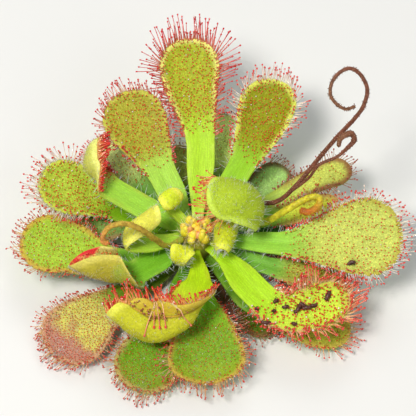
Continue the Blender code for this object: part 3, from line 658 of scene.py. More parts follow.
class Finish:
    """A material whose colour is built up in layers."""

    def __init__(self, name, roughness=0.45, soft=0.0, coat=0.0, shine=0.5):
        self.material = bpy.data.materials.new(name)
        self.material.use_nodes = True
        self.nodes = self.material.node_tree.nodes
        self.surface = self.nodes["Principled BSDF"]
        settings = {"Roughness": roughness, "Specular IOR Level": shine}
        if soft:
            settings["Subsurface Weight"] = soft
            settings["Subsurface Radius"] = LIGHT_SPREAD
            settings["Subsurface Scale"] = LIGHT_DEPTH * MM
        if coat:
            settings["Coat Weight"] = coat
            settings["Coat Roughness"] = DEW_ROUGHNESS
        for socket, value in settings.items():
            self.surface.inputs[socket].default_value = value

    def feed(self, socket, value):
        """Gives a socket a number, a colour or what another node makes."""
        if isinstance(value, (int, float, tuple)):
            socket.default_value = value
        else:
            self.material.node_tree.links.new(value, socket)

    def node(self, kind, **inputs):
        """A node of that kind, with its inputs given by name."""
        made = self.nodes.new("ShaderNode" + kind)
        for name, value in inputs.items():
            self.feed(made.inputs[name], value)
        return made

    def attribute(self, name):
        made = self.node("Attribute")
        made.attribute_name = name
        return made.outputs["Fac"]

    def place(self):
        return self.node("TexCoord").outputs["Object"]

    def noise(self, size, detail=3.0):
        """A soft random pattern whose lumps are about size across, in millimetres."""
        made = self.node("TexNoise", Scale=1.0 / (size * MM), Detail=detail, Vector=self.place())
        return made.outputs["Fac"]

    def cells(self, size):
        """The distance from the middle of cells that are about size across, in millimetres."""
        return self.node("TexVoronoi", Scale=1.0 / (size * MM), Vector=self.place()).outputs["Distance"]

    def veins(self):
        """Fine lines that run along a leaf."""
        across = self.times(self.attribute("across"), VEINS_ACROSS)
        run = self.times(self.attribute("run"), VEINS_ALONG)
        place = self.node("CombineXYZ", X=across, Y=run).outputs["Vector"]
        return self.node("TexNoise", Scale=1.0, Vector=place).outputs["Fac"]

    def spread(self, value, low, high, out_low=0.0, out_high=1.0):
        """The value, stretched so that low to high becomes out_low to out_high."""
        limits = {"From Min": low, "From Max": high, "To Min": out_low, "To Max": out_high}
        made = self.node("MapRange", Value=value, **limits)
        made.interpolation_type = "SMOOTHSTEP"
        return made.outputs["Result"]

    def sum(self, kind, first, second=0.0):
        """The result of a sum of that kind, of two values or a value and a number."""
        made = self.node("Math")
        made.operation = kind
        self.feed(made.inputs[0], first)
        self.feed(made.inputs[1], second)
        return made.outputs["Value"]

    def times(self, first, second):
        return self.sum("MULTIPLY", first, second)

    def plus(self, first, second):
        return self.sum("ADD", first, second)

    def layer(self, under, over, share, blend="MIX"):
        """One colour over another, by a share. Each is a colour or what a node gives."""
        made = self.node("Mix")
        made.data_type = "RGBA"
        made.blend_type = blend
        colours = [socket for socket in made.inputs if socket.type == "RGBA"]
        for socket, value in zip((made.inputs[0], *colours), (share, under, over)):
            self.feed(socket, value)
        return next(socket for socket in made.outputs if socket.type == "RGBA")

    def shaded(self, colour, value, share=1.0):
        """The colour, darker where the value is under 1 and lighter where it is over 1."""
        grey = self.node("CombineColor", Red=value, Green=value, Blue=value).outputs["Color"]
        return self.layer(colour, grey, share, "MULTIPLY")

    def done(self, colour, height=None, depth=0.05, strength=1.0):
        """The material, with this colour and perhaps a relief of that depth, in millimetres."""
        self.feed(self.surface.inputs["Base Color"], colour)
        if height is not None:
            relief = self.node("Bump", Strength=strength, Distance=depth * MM, Height=height)
            self.feed(self.surface.inputs["Normal"], relief.outputs["Normal"])
        return self.material


def leaf_finish(name, look):
    """The skin of one leaf: smooth on its stalk, beaded on its blade, with another rim and tip."""
    finish = Finish(name, roughness=0.5, soft=0.25, shine=0.18)
    lamina = finish.attribute("lamina")
    rim = finish.attribute("rim")
    patches = finish.noise(PATCH_SIZE)
    grain = finish.noise(GRAIN_SIZE, 4.0)
    beads = finish.spread(finish.cells(BEAD_SIZE), 0.6, 0.12)
    relief = finish.plus(beads, grain)
    ragged = finish.plus(finish.attribute("tip"), finish.times(patches, 0.7))
    upper = finish.layer(screen(look.stalk), screen(look.blade), finish.spread(lamina, 0.0, 0.85))
    stained = finish.times(finish.spread(patches, 0.45, 0.7), finish.times(lamina, 0.3))
    upper = finish.layer(upper, tinted(look.blade, 0.6), stained)
    frosted = finish.times(finish.spread(grain, 0.4, 0.75, 0.0, 0.55), lamina)
    upper = finish.layer(upper, tinted(look.blade, 1.35, 0.05), frosted)
    veined = finish.spread(lamina, 0.2, 0.8, 0.9, 0.35)
    upper = finish.shaded(upper, finish.spread(finish.veins(), 0.3, 0.7, 0.86, 1.1), veined)
    if look.tip and name != ROLLED:
        upper = finish.layer(upper, screen(look.tip), finish.spread(ragged, 0.5, 0.9))
    edge = finish.plus(rim, finish.times(finish.sum("SUBTRACT", patches, 0.5), 0.6))
    upper = finish.layer(upper, screen(look.rim), finish.spread(edge, 0.15, 0.95, 0.0, 0.85))
    if name == ROLLED:
        upper = finish.layer(upper, screen(look.tip), finish.spread(ragged, 1.12, 1.26))
    # Painted shade and highlight: the blade is darker between its beads and grain and lighter on their tops,
    # following its bump relief; the pale bead tops are also the papillae's own pale colour.
    upper = finish.shaded(
        upper, finish.spread(relief, 0.3, 1.4, 0.84, 1.16), finish.spread(lamina, 0.0, 0.5, 0.4, 1.0)
    )
    under = finish.layer(screen(look.stalk), screen(look.back), finish.spread(lamina, 0.0, 0.6))
    under = finish.layer(under, tinted(look.back, 0.7), finish.spread(patches, 0.45, 0.72, 0.0, 0.4))
    if name == ROLLED:
        under = finish.layer(screen(ROLLED_NECK), under, finish.spread(ragged, 0.3, 0.7))
    under = finish.layer(under, tinted(look.back, 1.35, 0.08), finish.spread(rim, 0.1, 0.8, 0.0, 0.8))
    under = finish.shaded(under, finish.spread(grain, 0.3, 0.7, 0.9, 1.12))
    if name == CREASED:
        across = finish.attribute("across")
        away = finish.sum("ABSOLUTE", finish.sum("SUBTRACT", across, CREASE_ACROSS))
        beyond = finish.spread(across, CREASE_ACROSS, CREASE_ACROSS + 0.8, 0.0, 0.6)
        under = finish.layer(under, screen(FLAP_OCHRE), beyond)
        # Painted shade: a dark brown line along the crease, where the fold lies in shadow.
        under = finish.layer(under, screen(CREASE_SHADE), finish.spread(away, 0.5, 0.05, 0.0, 0.75))
    colour = finish.layer(under, upper, finish.attribute("upper"))
    return finish.done(colour, finish.times(relief, finish.spread(lamina, 0.0, 0.5, 0.3, 1.0)), 0.12, 0.6)


def tentacle_finish(name, root, stalk, head):
    """A glassy stalk that deepens towards its sticky head, which on some is painted near-white: a painted
    glint standing in for the highlight on a dew drop.
    """
    finish = Finish(name, roughness=0.22, soft=0.4, coat=1.0)
    along = finish.attribute("along")
    own = finish.attribute("own")
    colour = finish.layer(screen(root), screen(stalk), finish.spread(along, 0.02, 0.4))
    colour = finish.layer(colour, screen(root), finish.spread(own, 0.6, 1.0, 0.0, 0.45))
    # Painted highlight: some heads are painted near-white, for the glint on a dew drop.
    dewy = finish.spread(finish.attribute("dew"), 0.955, 0.965)
    beaded = finish.layer(screen(head), screen(DEW_GLINT), dewy)
    return finish.done(finish.layer(colour, beaded, finish.spread(along, 0.5, 0.62)))


def scape_finish(name):
    """The skin of a flower stalk, which turns from its foot's colour to its tip's, with fine specks."""
    foot, middle, tip, specks = (screen(colour) for colour in SCAPE_COLOURS[name])
    finish = Finish(name, roughness=0.5, soft=0.2, shine=0.3)
    along = finish.attribute("along")
    patches = finish.noise(0.8)
    dots = finish.cells(0.3)
    colour = finish.layer(foot, middle, finish.spread(along, 0.05, 0.4))
    colour = finish.layer(colour, tip, finish.spread(along, 0.55, 0.9))
    colour = finish.shaded(colour, finish.spread(patches, 0.3, 0.7, 0.72, 1.2))
    colour = finish.layer(colour, specks, finish.spread(dots, 0.34, 0.16, 0.0, 0.8))
    return finish.done(colour, finish.plus(finish.spread(dots, 0.5, 0.1), patches), 0.08, 0.8)


def bud_finish():
    """Yellow to flushed orange buds, one apart from the next."""
    yellow, amber, flushed, pale = (screen(colour) for colour in BUD_COLOURS)
    finish = Finish("crown_bud", roughness=0.45, soft=0.4, shine=0.3)
    own = finish.attribute("own")
    patches = finish.noise(0.35, 3.0)
    colour = finish.layer(yellow, amber, finish.spread(own, 0.4, 0.65))
    colour = finish.layer(colour, flushed, finish.spread(own, 0.8, 0.9))
    colour = finish.layer(colour, pale, finish.spread(finish.attribute("along"), 0.5, 1.0, 0.0, 0.4))
    colour = finish.shaded(colour, finish.spread(patches, 0.3, 0.7, 0.9, 1.2))
    return finish.done(colour, patches, 0.1, 0.8)


def plain(name, colour, second, roughness=0.5, soft=0.2, size=1.0):
    """A finish of one colour that varies over patches towards a second."""
    finish = Finish(name, roughness, soft)
    patches = finish.noise(size)
    mixed = finish.layer(screen(colour), screen(second), finish.spread(patches, 0.4, 0.68))
    return finish.done(mixed, patches)


def add_object(name, data):
    """A new object in the scene."""
    made = bpy.data.objects.new(name, data)
    bpy.context.scene.collection.objects.link(made)
    return made


def mesh_of(bm, name):
    """The mesh that a bmesh has shaped."""
    mesh = bpy.data.meshes.new(name)
    bm.to_mesh(mesh)
    bm.free()
    return mesh


def corners(mesh):
    """The places of a mesh's corners."""
    flat = np.empty(3 * len(mesh.vertices))
    mesh.vertices.foreach_get("co", flat)
    return flat.reshape(-1, 3)


def move_corners(mesh, place):
    """Puts a mesh's corners at places in millimetres."""
    mesh.vertices.foreach_set("co", (place * MM).ravel())
    mesh.shade_smooth()
    mesh.update()


def set_attributes(mesh, **attributes):
    """Gives a mesh values at its corners, for its finish to read."""
    for name, values in attributes.items():
        layer = mesh.attributes.new(name, "FLOAT", "POINT")
        layer.data.foreach_set("value", np.ascontiguousarray(values, dtype=np.float32).ravel())


def rod(sides, rings):
    """A closed rod of unit radius along Z, with a ring at each whole height and a point at its end."""
    bm = bmesh.new()
    bmesh.ops.create_circle(bm, cap_ends=True, segments=sides, radius=1.0)
    face = bm.faces[:][0]
    for _ in range(rings - 1):
        face = bmesh.ops.extrude_discrete_faces(bm, faces=[face])["faces"][0]
        bmesh.ops.translate(bm, verts=face.verts, vec=(0.0, 0.0, 1.0))
    tip = bmesh.ops.poke(bm, faces=[face])["verts"][0]
    tip.co.z += 1.0
    bmesh.ops.holes_fill(bm, edges=bm.edges, sides=sides)
    bmesh.ops.recalc_face_normals(bm, faces=bm.faces)
    return mesh_of(bm, "rod")


def frames(paths):
    """Two unit vectors across each path at each of its points, which don't twist along it."""
    along = unit(np.gradient(paths, axis=1))
    across = unit(np.cross(along[:, 0], unit(ASKEW)))
    firsts = []
    for step in range(paths.shape[1]):
        direction = along[:, step]
        across = unit(across - direction * np.sum(across * direction, axis=1, keepdims=True))
        firsts.append(across)
    firsts = np.stack(firsts, axis=1)
    return firsts, np.cross(along, firsts)


def grow(name, finish, paths, radii, sides, own=0.0):
    """One object of rods, one along each path, as thick as radii say at each point but the last."""
    paths = np.asarray(paths, float)
    count, stops = paths.shape[:2]
    single = rod(sides, stops - 1)
    made = add_object(name, single)
    if count > 1:
        repeat = made.modifiers.new("repeat", "ARRAY")
        repeat.count = count
        repeat.use_relative_offset = False
        bpy.context.view_layer.update()
        graph = bpy.context.evaluated_depsgraph_get()
        made.data = bpy.data.meshes.new_from_object(made.evaluated_get(graph))
        made.modifiers.clear()
    flat = corners(single)
    stop = np.rint(flat[:, 2]).astype(int)
    first, second = frames(paths)
    thick = np.concatenate([np.broadcast_to(radii, (count, stops - 1)), np.zeros((count, 1))], axis=1)
    offset = flat[None, :, 0:1] * first[:, stop] + flat[None, :, 1:2] * second[:, stop]
    move_corners(made.data, paths[:, stop] + offset * thick[:, stop, None])
    own = np.repeat(np.broadcast_to(own, count), len(flat))
    # Which tentacles get the painted dew glint on their heads.
    dew = own * GLINT_MIX % 1.0
    set_attributes(made.data, along=np.tile(stop / (stops - 1), count), own=own, dew=dew)
    made.data.materials.append(finish)
    return made


class Skin:
    """The outside of a leaf, on both sides of the middle surface of its blade."""

    def __init__(self, name, draw):
        self.name = name
        self.leaf = LEAVES[name]
        self.look = LOOKS[name]
        self.blade = Blade(self.leaf)
        self.turns = draw.uniform(0.0, 2 * math.pi, 3)

    def inside(self, along, across):
        """How far a place on the flat leaf lies inside its margin, negative outside it."""
        half = self.blade.half_width(np.minimum(along, self.blade.widest))
        beyond = np.maximum(along - self.blade.widest, 0.0) / self.leaf.round
        return (1.0 - np.hypot(beyond, across / half)) * half

    def lamina(self, along):
        """0 on the stalk of a leaf and 1 on its blade."""
        shoulder = self.leaf.shoulder
        return smooth((along / self.blade.widest - shoulder) / (1.0 - shoulder) * SHOULDER_HASTE)

    def surface(self, along, across, above=1.0):
        """(place, tangent, side, normal) on the outside: above is 1 on the upper face and -1 below."""
        place, tangent, side, normal = self.blade.bent(along, across)
        inside = np.clip(self.inside(along, across), 0.0, None)
        share = self.lamina(along)
        ripple = np.sin(along * 0.7 + self.turns[0]) * np.sin(across * 0.9 + self.turns[1])
        ripple = ripple + 0.5 * np.sin(along * 1.3 + across * 0.8 + self.turns[2])
        half = EDGE_HALF + MIDDLE_MORE * np.sqrt(np.clip(inside / EDGE_ROUND, 0.0, 1.0))
        groove = GROOVE_DEPTH * bell(across, GROOVE_WIDTH) * (1.0 - share) * (above > 0)
        rise = share * (RIPPLE * ripple + self.look.dish * bell(inside, DISH_WIDTH)) - groove
        if self.name == CREASED:
            swells = sum(high * bell(across - CREASE_ACROSS - off, width) for off, width, high in SWELLS)
            fold = bell(across - CREASE_ACROSS, CREASE_WIDTH) - SWELL_SHARE * swells
            rise = rise + CREASE_DEPTH * fold * smooth((along - CREASE_START) / CREASE_FADE) * (above < 0)
        return place + normal * (rise + above * half)[..., None], tangent, side, normal


def build_blade(skin):
    """The fine skin of a leaf, closed round its margin."""
    rows, columns = LARGE_GRID if skin.leaf.lamina > LARGE_BLADE else SMALL_GRID
    bm = bmesh.new()
    bmesh.ops.create_grid(bm, x_segments=rows, y_segments=columns, size=1.0)
    bmesh.ops.solidify(bm, geom=bm.faces[:], thickness=1.0)
    bmesh.ops.recalc_face_normals(bm, faces=bm.faces)
    mesh = mesh_of(bm, skin.name)
    flat = corners(mesh)
    row = np.interp(flat[:, 0], [-1.0, 0.3, 1.0], [0.0, 1.0, 2.0])
    row = np.where(row > 1.0, 1.0 + np.sin((row - 1.0) * math.pi / 2), row)
    column = np.sin(flat[:, 1] * math.pi / 2)
    above = np.where(flat[:, 2] > flat[:, 2].mean(), 1.0, -1.0)
    along, across = skin.blade.flat(row, column)
    move_corners(mesh, skin.surface(along, across, above)[0])
    share = skin.lamina(along)
    inside = np.clip(skin.inside(along, across), 0.0, None)
    set_attributes(
        mesh, lamina=share, rim=bell(inside, RIM_WIDTH) * (0.3 + 0.7 * share),
        tip=np.clip((row - 0.7) / 1.3, 0.0, 1.0), upper=0.5 + 0.5 * above, across=across, run=along,
    )
    mesh.materials.append(leaf_finish(skin.name, skin.look))
    return add_object(skin.name + "_blade", mesh)


def clear_floor(paths, least):
    """The paths, bent up where they would run under the surface that the plant rests on."""
    paths[:, :, 2] += np.maximum(least - paths[:, :, 2], 0.0)
    return paths


def strayed(draw, vectors, by):
    """The vectors, each turned a little its own way, at length 1."""
    return unit(vectors + draw.normal(0.0, by, vectors.shape))


def bent_paths(root, start, end, reach, shares=HAIR_STOPS):
    """Paths that leave the root in one direction and bend towards another, each as long as reach."""
    shares = np.atleast_2d(shares)[:, :, None]
    turned = start[:, None] * shares + (end - start)[:, None] * shares**2 * 0.5
    return root[:, None] + turned * reach[:, None, None]


def ring_stops(reach, head, stalk_stops=STALK_STOPS):
    """How far along each tentacle its rings lie."""
    stalk = (reach - head)[:, None]
    return np.concatenate([stalk * stalk_stops, stalk + head[:, None] * HEAD_STOPS], axis=1)


def ring_radii(stalk, head, stalk_widths=STALK_WIDTHS):
    """How thick each tentacle is at its rings, for the thickness of its stalk's foot and its head."""
    return np.concatenate([stalk[:, None] * stalk_widths, head[:, None] * HEAD_WIDTHS], axis=1)


def short_tentacles(root, start, end, reach, head, thick):
    """(paths, radii) of tentacles so short that their stalk has only two rings."""
    stops = ring_stops(reach, head, STALK_STOPS[[0, 3]])
    radii = ring_radii(np.full(len(reach), thick), 0.46 * head, STALK_WIDTHS[[0, 3]])
    return bent_paths(root, start, end, reach, stops / reach[:, None]), radii


def fringe_tentacles(skin, draw):
    """(paths, radii, how pale) of the tentacles round a leaf's margin, in a few uneven rows."""
    leaf, look = skin.leaf, skin.look
    count = look.fringe
    start_row = leaf.shoulder + look.begins * (1 - leaf.shoulder)
    flank = np.concatenate([np.linspace(start_row, 1.0, 40), np.linspace(1.0, 2.0, 16)[1:-1]])
    tip = np.linspace(-1.0, 1.0, 50)
    row = np.concatenate([flank, np.full_like(tip, 2.0), flank[::-1]])
    column = np.concatenate([np.full_like(flank, -1.0), tip, np.ones_like(flank)])
    edge = skin.blade.at(row, column)[0]
    run = np.concatenate([[0.0], np.cumsum(np.linalg.norm(np.diff(edge, axis=0), axis=1))])
    at = (np.arange(count) + draw.uniform(-0.35, 0.35, count)) / count * run[-1]
    row, column = np.interp(at, run, row), np.interp(at, run, column)
    rank = draw.choice(3, count, p=RANK_SHARES)
    inward = RANK_INWARD[rank] * draw.uniform(0.7, 1.3, count)
    column = column * (1 - inward)
    row = np.where(row > 1.0, 1 + (row - 1) * (1 - 0.8 * inward), row)
    place, tangent, side, normal = skin.surface(*skin.blade.flat(row, column))
    beyond = np.clip(row - 1.0, 0.0, 1.0)[:, None]
    out = unit(side * column[:, None] * (1.15 - beyond) + tangent * (0.15 + beyond))
    lift = (draw.uniform(-0.1, 0.25, count) + RANK_LIFT[rank])[:, None]
    start = out * np.cos(lift) + normal * np.sin(lift)
    start = unit(start + draw.normal(0.0, 0.08 + 0.2 * look.unruly, (count, 1)) * np.cross(out, normal))
    if look.aim:
        share = look.aim[3] * draw.uniform(0.7, 1.1, (count, 1))
        start = strayed(draw, start * (1 - share) + np.array(look.aim[:3]) * share, 0.15)
    end = start + normal * draw.normal(0.1, 0.5 * look.unruly, (count, 1))
    end = strayed(draw, end, 0.5 * look.unruly)
    toward_tip = smooth((row - start_row) / (1.1 - start_row))
    reach = leaf.reach * (0.4 + 0.6 * toward_tip) * RANK_REACH[rank]
    reach *= np.where(column > 0, look.left, look.right) ** np.abs(column)
    reach = np.maximum(reach * draw.uniform(0.78, 1.1, count), 0.8)
    head = draw.uniform(0.34, 0.46, count)
    shares = ring_stops(reach, head) / reach[:, None]
    paths = bent_paths(place - (out + normal) * 0.15, start, end, reach, shares)
    radii = ring_radii(look.slim * draw.uniform(0.11, 0.14, count), look.slim**0.5 * (0.42 * head))
    return clear_floor(paths, FRINGE_CLEARANCE), radii, 1.0 - toward_tip * draw.uniform(0.6, 1.0, count)


def face_tentacles(skin, draw):
    """(paths, radii, how pale) of the short red tentacles that stand all over a leaf's upper face."""
    leaf, blade = skin.leaf, skin.blade
    glands = skin.look.glands
    begin = blade.widest * (leaf.shoulder + 0.1 * (1 - leaf.shoulder))
    along = draw.uniform(begin, blade.length, GLAND_TRIES * glands)
    across = draw.uniform(-0.5 * leaf.lamina, 0.5 * leaf.lamina, GLAND_TRIES * glands)
    tries = np.column_stack([along, across])[skin.inside(along, across) > GLAND_MARGIN]
    fill = smooth((tries[:, 0] - begin) / (0.4 * (blade.widest - begin)))
    tries = tries[draw.uniform(0, 1, len(tries)) < 0.15 + 0.85 * fill]
    kept = []
    for spot in tries:
        if len(kept) >= glands:
            break
        if not kept or np.min(np.hypot(*(np.array(kept) - spot).T)) > GLAND_SPACING:
            kept.append(spot)
    along, across = np.array(kept).T
    count = len(along)
    place, tangent, side, normal = skin.surface(along, across)
    near_margin = np.exp(-skin.inside(along, across) / 0.9)
    reach = 0.34 + 0.7 * near_margin * draw.uniform(0.6, 1.2, count) + draw.uniform(0, 0.2, count)
    lean = unit(side * (across / (0.5 * leaf.lamina))[:, None] + 0.3 * tangent)
    start = strayed(draw, normal + 0.2 * lean, 0.12)
    end = strayed(draw, normal + 0.4 * lean, 0.2)
    head = draw.uniform(0.22, 0.34, count) * skin.look.slim**0.7
    found = short_tentacles(place - normal * 0.1, start, end, reach, head, 0.09)
    return *found, draw.uniform(0.0, 0.5, count)


def draped_tentacles(skin, draw):
    """(paths, radii, how pale) of tentacles that hang from the folded leaf's margin over its under face."""
    count = len(DRAPED_ALONG)
    reach = draw.uniform(4.2, 5.6, count)
    head = np.full(count, 0.5)
    stops = ring_stops(reach, head)
    half = skin.inside(DRAPED_ALONG, np.zeros(count))[:, None]
    along = DRAPED_ALONG[:, None] + stops * draw.normal(0.0, 0.12, (count, 1))
    place, _, _, normal = skin.surface(along, np.maximum(half - stops, 0.0), -1.0)
    paths = place - normal * (0.05 + 0.3 * np.sin(stops / reach[:, None] * math.pi * 0.8))[..., None]
    return paths, ring_radii(np.full(count, 0.16), 0.44 * head), draw.uniform(0.0, 0.4, count)


def crease_tentacles(skin, draw):
    """(paths, radii, how pale) of the short tentacles that stand along the folded leaf's crease."""
    count = CREASE_COUNT
    along = draw.uniform(15.0, 0.93 * skin.blade.length, count)
    across = CREASE_ACROSS + draw.normal(0.3, 0.45, count)
    place, _, _, normal = skin.surface(along, across, -1.0)
    start = strayed(draw, -normal, 0.3)
    end = strayed(draw, start, 0.5)
    head = draw.uniform(0.26, 0.36, count)
    reach = draw.uniform(0.5, 1.3, count)
    found = short_tentacles(place + normal * 0.1, start, end, reach, head, 0.08)
    return *found, draw.uniform(0.0, 0.5, count)


def build_tentacles(skin, draw, finishes):
    """The pieces with a leaf's tentacles: long ones round its margin and short ones on its face."""
    kinds = []
    if skin.name == CREASED:
        kinds += [("_draped", "salmon", draped_tentacles, 6), ("_crease", "brown", crease_tentacles, 6)]
    if skin.look.fringe:
        kinds.append(("_fringe", skin.look.finish, fringe_tentacles, 5))
    if skin.look.glands:
        kinds.append(("_glands", "gland", face_tentacles, 5))
    pieces = []
    for part, finish, find, sides in kinds:
        paths, radii, own = find(skin, draw)
        pieces.append(grow(skin.name + part, finishes[finish], paths, radii, sides, own))
    return pieces


def stalk_hairs(skin, draw):
    """Paths of the white hairs along a leaf's stalk margins and under its rib."""
    count = skin.look.hairs
    along = draw.uniform(0.12, 0.95, count) * skin.blade.widest
    flank = draw.choice([-1.0, 1.0], count)
    under = np.arange(count) % 3 == 0
    across = flank * skin.blade.half_width(along) * np.where(under, draw.uniform(0.0, 1.0, count), 0.98)
    place, tangent, side, normal = skin.surface(along, across, np.where(under, -1.0, 0.0))
    outward = np.where(under[:, None], -normal, side * flank[:, None])
    start = strayed(draw, outward + 0.5 * tangent * draw.uniform(0, 1, (count, 1)), 0.2)
    end = strayed(draw, start + 0.5 * normal * ~under[:, None], 0.5)
    paths = bent_paths(place - outward * 0.1, start, end, draw.uniform(0.9, 2.2, count))
    return clear_floor(paths, HAIR_CLEARANCE)


def face_hairs(skin, draw, count, above, begins):
    """Paths of fine short hairs all over one face of a blade, from a share of its length on."""
    length = skin.blade.length
    along = length - (1.0 - begins) * length * draw.uniform(0.0, 1.0, count) ** 1.2
    half = np.clip(skin.inside(along, np.zeros(count)), 0.1, None)
    place, _, _, normal = skin.surface(along, half * draw.uniform(-1.0, 1.0, count), above)
    start = strayed(draw, above * normal, 0.35)
    end = strayed(draw, start, 0.6)
    return bent_paths(place - above * normal * 0.06, start, end, draw.uniform(0.3, 0.8, count))


def build_hairs(skin, draw, finish):
    """White hairs along a leaf's stalk margins, and finer ones on either face of its blade."""
    look = skin.look
    pieces = [grow(skin.name + "_hairs", finish, stalk_hairs(skin, draw), HAIR_RADII, sides=3)]
    for part, count, above, begins in (("_fuzz", look.fuzz, -1.0, 0.45), ("_frost", look.frost, 1.0, 0.6)):
        if count:
            paths = face_hairs(skin, draw, count, above, begins)
            pieces.append(grow(skin.name + part, finish, paths, FUZZ_RADII, sides=3))
    return pieces


def scape_radii(scape, shares):
    """How thick a flower stalk is at shares of its length."""
    return SCAPE_GIRTH[scape.slot] * np.interp(shares, np.linspace(0.0, 1.0, len(scape.widths)), scape.widths)


def build_scape(name, scape, finish):
    """A flower stalk, thick as its widths say."""
    line = spline_through(scape.points, SCAPE_STEPS)[::2]
    radii = scape_radii(scape, np.linspace(0.0, 1.0, len(line)))
    return grow(name, finish, line[None], radii[None, :-1], sides=14)


def build_beads(name, scape, count, draw, finish):
    """The tiny gland-tipped stubs that a flower stalk bears."""
    line = spline_through(scape.points, SCAPE_STEPS)
    step = unit(np.gradient(line, axis=0))
    spot = draw.integers(len(line) // 5, len(line) - 1, count)
    out = unit(np.cross(step[spot], draw.normal(0.0, 1.0, (count, 3))))
    root = line[spot] + out * (0.85 * scape_radii(scape, spot / (len(line) - 1)))[:, None]
    reach = draw.uniform(0.14, 0.3, count)
    paths = bent_paths(root, out, strayed(draw, out, 0.3), reach, BEAD_STOPS)
    return grow(name, finish, paths, BEAD_RADII, sides=4)


def build_prey(skins, draw, finish):
    """The dark, shrunken insects that stick to two leaves, with stubs of their legs."""
    bodies, girths, legs = [], [], []
    for name, along, across, length, turn in PREY:
        lying = skins[name].surface(np.array([along]), np.array([across]))
        place, tangent, side, normal = (value[0] for value in lying)
        angle = math.radians(turn)
        run = tangent * math.cos(angle) + side * math.sin(angle)
        thick = 0.3 + 0.08 * length
        stops = np.linspace(-0.5, 0.5, 9)[:, None]
        arch = normal * (0.5 * thick + 0.25 * thick * np.cos(stops * math.pi))
        sway = side * draw.normal(0.0, 0.14, 1) * np.sin(stops * 5.0) + draw.normal(0.0, 0.03, (9, 3))
        bodies.append(place + run * stops * length + arch + sway)
        waist = 0.6 + 0.4 * np.abs(np.sin(np.linspace(0.5, 2.6 * math.pi, 8) + draw.uniform(0, 1)))
        girths.append(thick * waist * np.sin(np.linspace(0.5, 2.7, 8)) ** 0.5 * draw.uniform(0.75, 1.25, 8))
        for _ in range(PREY_LEGS):
            root = place + run * draw.uniform(-0.35, 0.35) * length + normal * 0.2
            out = np.cross(run, normal) * draw.choice([-1.0, 1.0]) + run * draw.normal(0, 0.5)
            out = unit(out + normal * 0.3)
            legs.append(bent_paths(root[None], out[None], unit(out - normal)[None], np.ones(1))[0])
    body = grow("prey", finish, np.array(bodies), np.array(girths), sides=9)
    return body, grow("prey_legs", finish, np.array(legs), PREY_LEG_RADII, sides=4)


def build_stem(finish):
    """The short stem, turned from a profile, with a domed crown."""
    dome = [
        (0.93 * STEM_RADIUS * math.sin(angle), STEM_TOP - 1.4 * (1 - math.cos(angle)))
        for angle in np.linspace(0.0, math.pi / 2, 9)
    ]
    profile = [*dome, (STEM_RADIUS, 5.5), (STEM_RADIUS, 4.0), (STEM_FOOT_RADIUS, 0.0), (0.0, 0.0)]
    bm = bmesh.new()
    verts = [bm.verts.new((radius * MM, 0.0, height * MM)) for radius, height in profile]
    edges = [bm.edges.new(pair) for pair in zip(verts, verts[1:])]
    bmesh.ops.spin(
        bm, geom=verts + edges, cent=(0, 0, 0), axis=(0, 0, 1), angle=2 * math.pi, steps=40, use_merge=True
    )
    bmesh.ops.remove_doubles(bm, verts=bm.verts, dist=1e-6)
    bmesh.ops.recalc_face_normals(bm, faces=bm.faces)
    mesh = mesh_of(bm, "stem_skin")
    mesh.shade_smooth()
    mesh.materials.append(finish)
    return add_object("stem_skin", mesh)


def crown_places(turn, radius, height):
    """(root, outward) of what stands on the crown, at turns, distances and heights round its middle."""
    out = np.stack([np.cos(turn), np.sin(turn), np.zeros(len(turn))], axis=1)
    return out * radius[:, None] + UP * height[:, None], out


def build_crown_buds(draw, finish):
    """The small unopened buds that crowd the middle of the crown."""
    number = np.arange(BUDS)
    turn = number * GOLDEN_TURN + draw.normal(0, 0.2, BUDS)
    radius = 2.2 * np.sqrt((number + 0.5) / BUDS)
    root, out = crown_places(turn, radius, STEM_TOP - 0.6 * (radius / STEM_RADIUS) ** 2 - 0.1)
    start = strayed(draw, UP + out * (0.45 * radius / STEM_RADIUS)[:, None], 0.2)
    end = strayed(draw, start + UP * 0.4 - out * 0.5, 0.4)
    reach = draw.uniform(1.5, 2.9, BUDS) * (1.15 - 0.35 * radius / STEM_RADIUS)
    girth = draw.uniform(0.5, 0.9, (BUDS, 1)) * BUD_WIDTHS
    paths = bent_paths(root, start, end, reach, BUD_STOPS)
    return grow("crown_buds", finish, paths, girth, sides=10, own=draw.uniform(0, 1, BUDS))


def build_stipules(draw, finish):
    """The papery fringe that stands between the leaf stalks at the crown."""
    turn = draw.uniform(0, 2 * math.pi, STIPULES)
    radius = 2.5 * np.sqrt(draw.uniform(0.05, 1, STIPULES))
    height = STEM_TOP - 0.8 * (radius / STEM_RADIUS) ** 2 + draw.uniform(-0.3, 1.0, STIPULES)
    root, out = crown_places(turn, radius, height)
    start = strayed(draw, UP + out * (0.7 * radius / STEM_RADIUS)[:, None], 0.35)
    end = strayed(draw, start + out * draw.uniform(-0.6, 0.9, (STIPULES, 1)), 0.7)
    paths = bent_paths(root, start, end, draw.uniform(0.9, 2.4, STIPULES), STIPULE_STOPS)
    return grow("stipules", finish, paths, STIPULE_RADII, sides=4, own=draw.uniform(0, 1, STIPULES))


def place_in_view(name, data, place, towards):
    """A lamp or a camera at a place, turned to look in a direction."""
    made = add_object(name, data)
    made.location = place
    made.rotation_euler = Vector(towards).to_track_quat("-Z", "Y").to_euler()
    return made


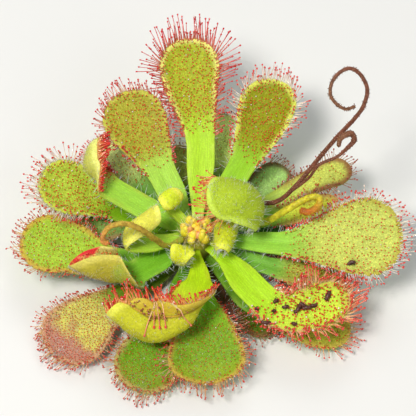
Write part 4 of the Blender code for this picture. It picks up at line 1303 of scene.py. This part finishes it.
def build_stage():
    """A pale floor, soft light and the camera."""
    bm = bmesh.new()
    bmesh.ops.create_grid(bm, x_segments=1, y_segments=1, size=3.0)
    floor = add_object("floor", mesh_of(bm, "floor"))
    floor.data.materials.append(Finish("pale_floor", roughness=0.9).done(FLOOR_COLOUR))
    for name, place, size, power, colour in LAMPS:
        light = bpy.data.lights.new(name, "AREA")
        light.size = size
        light.energy = power
        light.color = colour
        place_in_view(name, light, place, np.array(LAMP_TARGET) - place)
    world = bpy.data.worlds.new("studio")
    world.use_nodes = True
    sky = world.node_tree.nodes["Background"].inputs
    sky["Color"].default_value = SKY_COLOUR
    sky["Strength"].default_value = SKY_STRENGTH
    bpy.context.scene.world = world
    bpy.context.scene.view_settings.view_transform = "Standard"
    camera = bpy.data.cameras.new("camera")
    camera.lens = LENS
    camera.sensor_width = SENSOR_WIDTH
    camera.clip_start = 0.01
    elevation = math.radians(CAMERA_ELEVATION)
    back = Vector((0.0, -math.cos(elevation), math.sin(elevation)))
    view = place_in_view("camera", camera, Vector(CAMERA_TARGET) + back * CAMERA_DISTANCE, -back)
    bpy.context.scene.camera = view


def main():
    """Dress every node of the plant and set the scene."""
    build_stage()
    finishes = {name: tentacle_finish("tentacle_" + name, *colours) for name, colours in TENTACLES.items()}
    finishes["gland"] = tentacle_finish("gland", *GLAND_COLOURS)
    hair = plain("hair", (252, 254, 238), (240, 244, 220), 0.35, 0.6)
    pieces = []
    skins = {}
    for order, (name, leaf) in enumerate(LEAVES.items()):
        draw = np.random.default_rng([LEAF_SEED, order])
        skin = Skin(name, draw)
        skins[name] = skin
        piece = build_blade(skin)
        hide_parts(name)
        pieces.append(piece)
        pieces += build_tentacles(skin, draw, finishes)
        if skin.look.hairs:
            pieces += build_hairs(skin, draw, hair)
    for order, (name, scape) in enumerate(SCAPES.items()):
        draw = np.random.default_rng([SCAPE_SEED, order])
        finish = scape_finish(name)
        stalk = build_scape(name + "_skin", scape, finish)
        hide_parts(name)
        pieces += [stalk, build_beads(name + "_beads", scape, BEADS, draw, finish)]
        if scape.side:
            pieces.append(build_scape(name + "_side", scape.side, finish))
            pieces.append(build_beads(name + "_side_beads", scape.side, SIDE_BEADS, draw, finish))
    stem = build_stem(plain("crown", (214, 196, 66), (176, 190, 60), 0.7, size=0.8))
    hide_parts("stem")
    pieces.append(stem)
    pieces.append(build_crown_buds(np.random.default_rng(BUD_SEED), bud_finish()))
    wool = plain("stipule", (255, 246, 190), (250, 206, 140), 0.5, 0.5, 1.2)
    pieces.append(build_stipules(np.random.default_rng(STIPULE_SEED), wool))
    shell = plain("insect", (96, 52, 38), (48, 26, 22), 0.35, 0.0, 0.4)
    pieces += build_prey(skins, np.random.default_rng(PREY_SEED), shell)
    for piece in pieces:
        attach(piece, "root")


main()
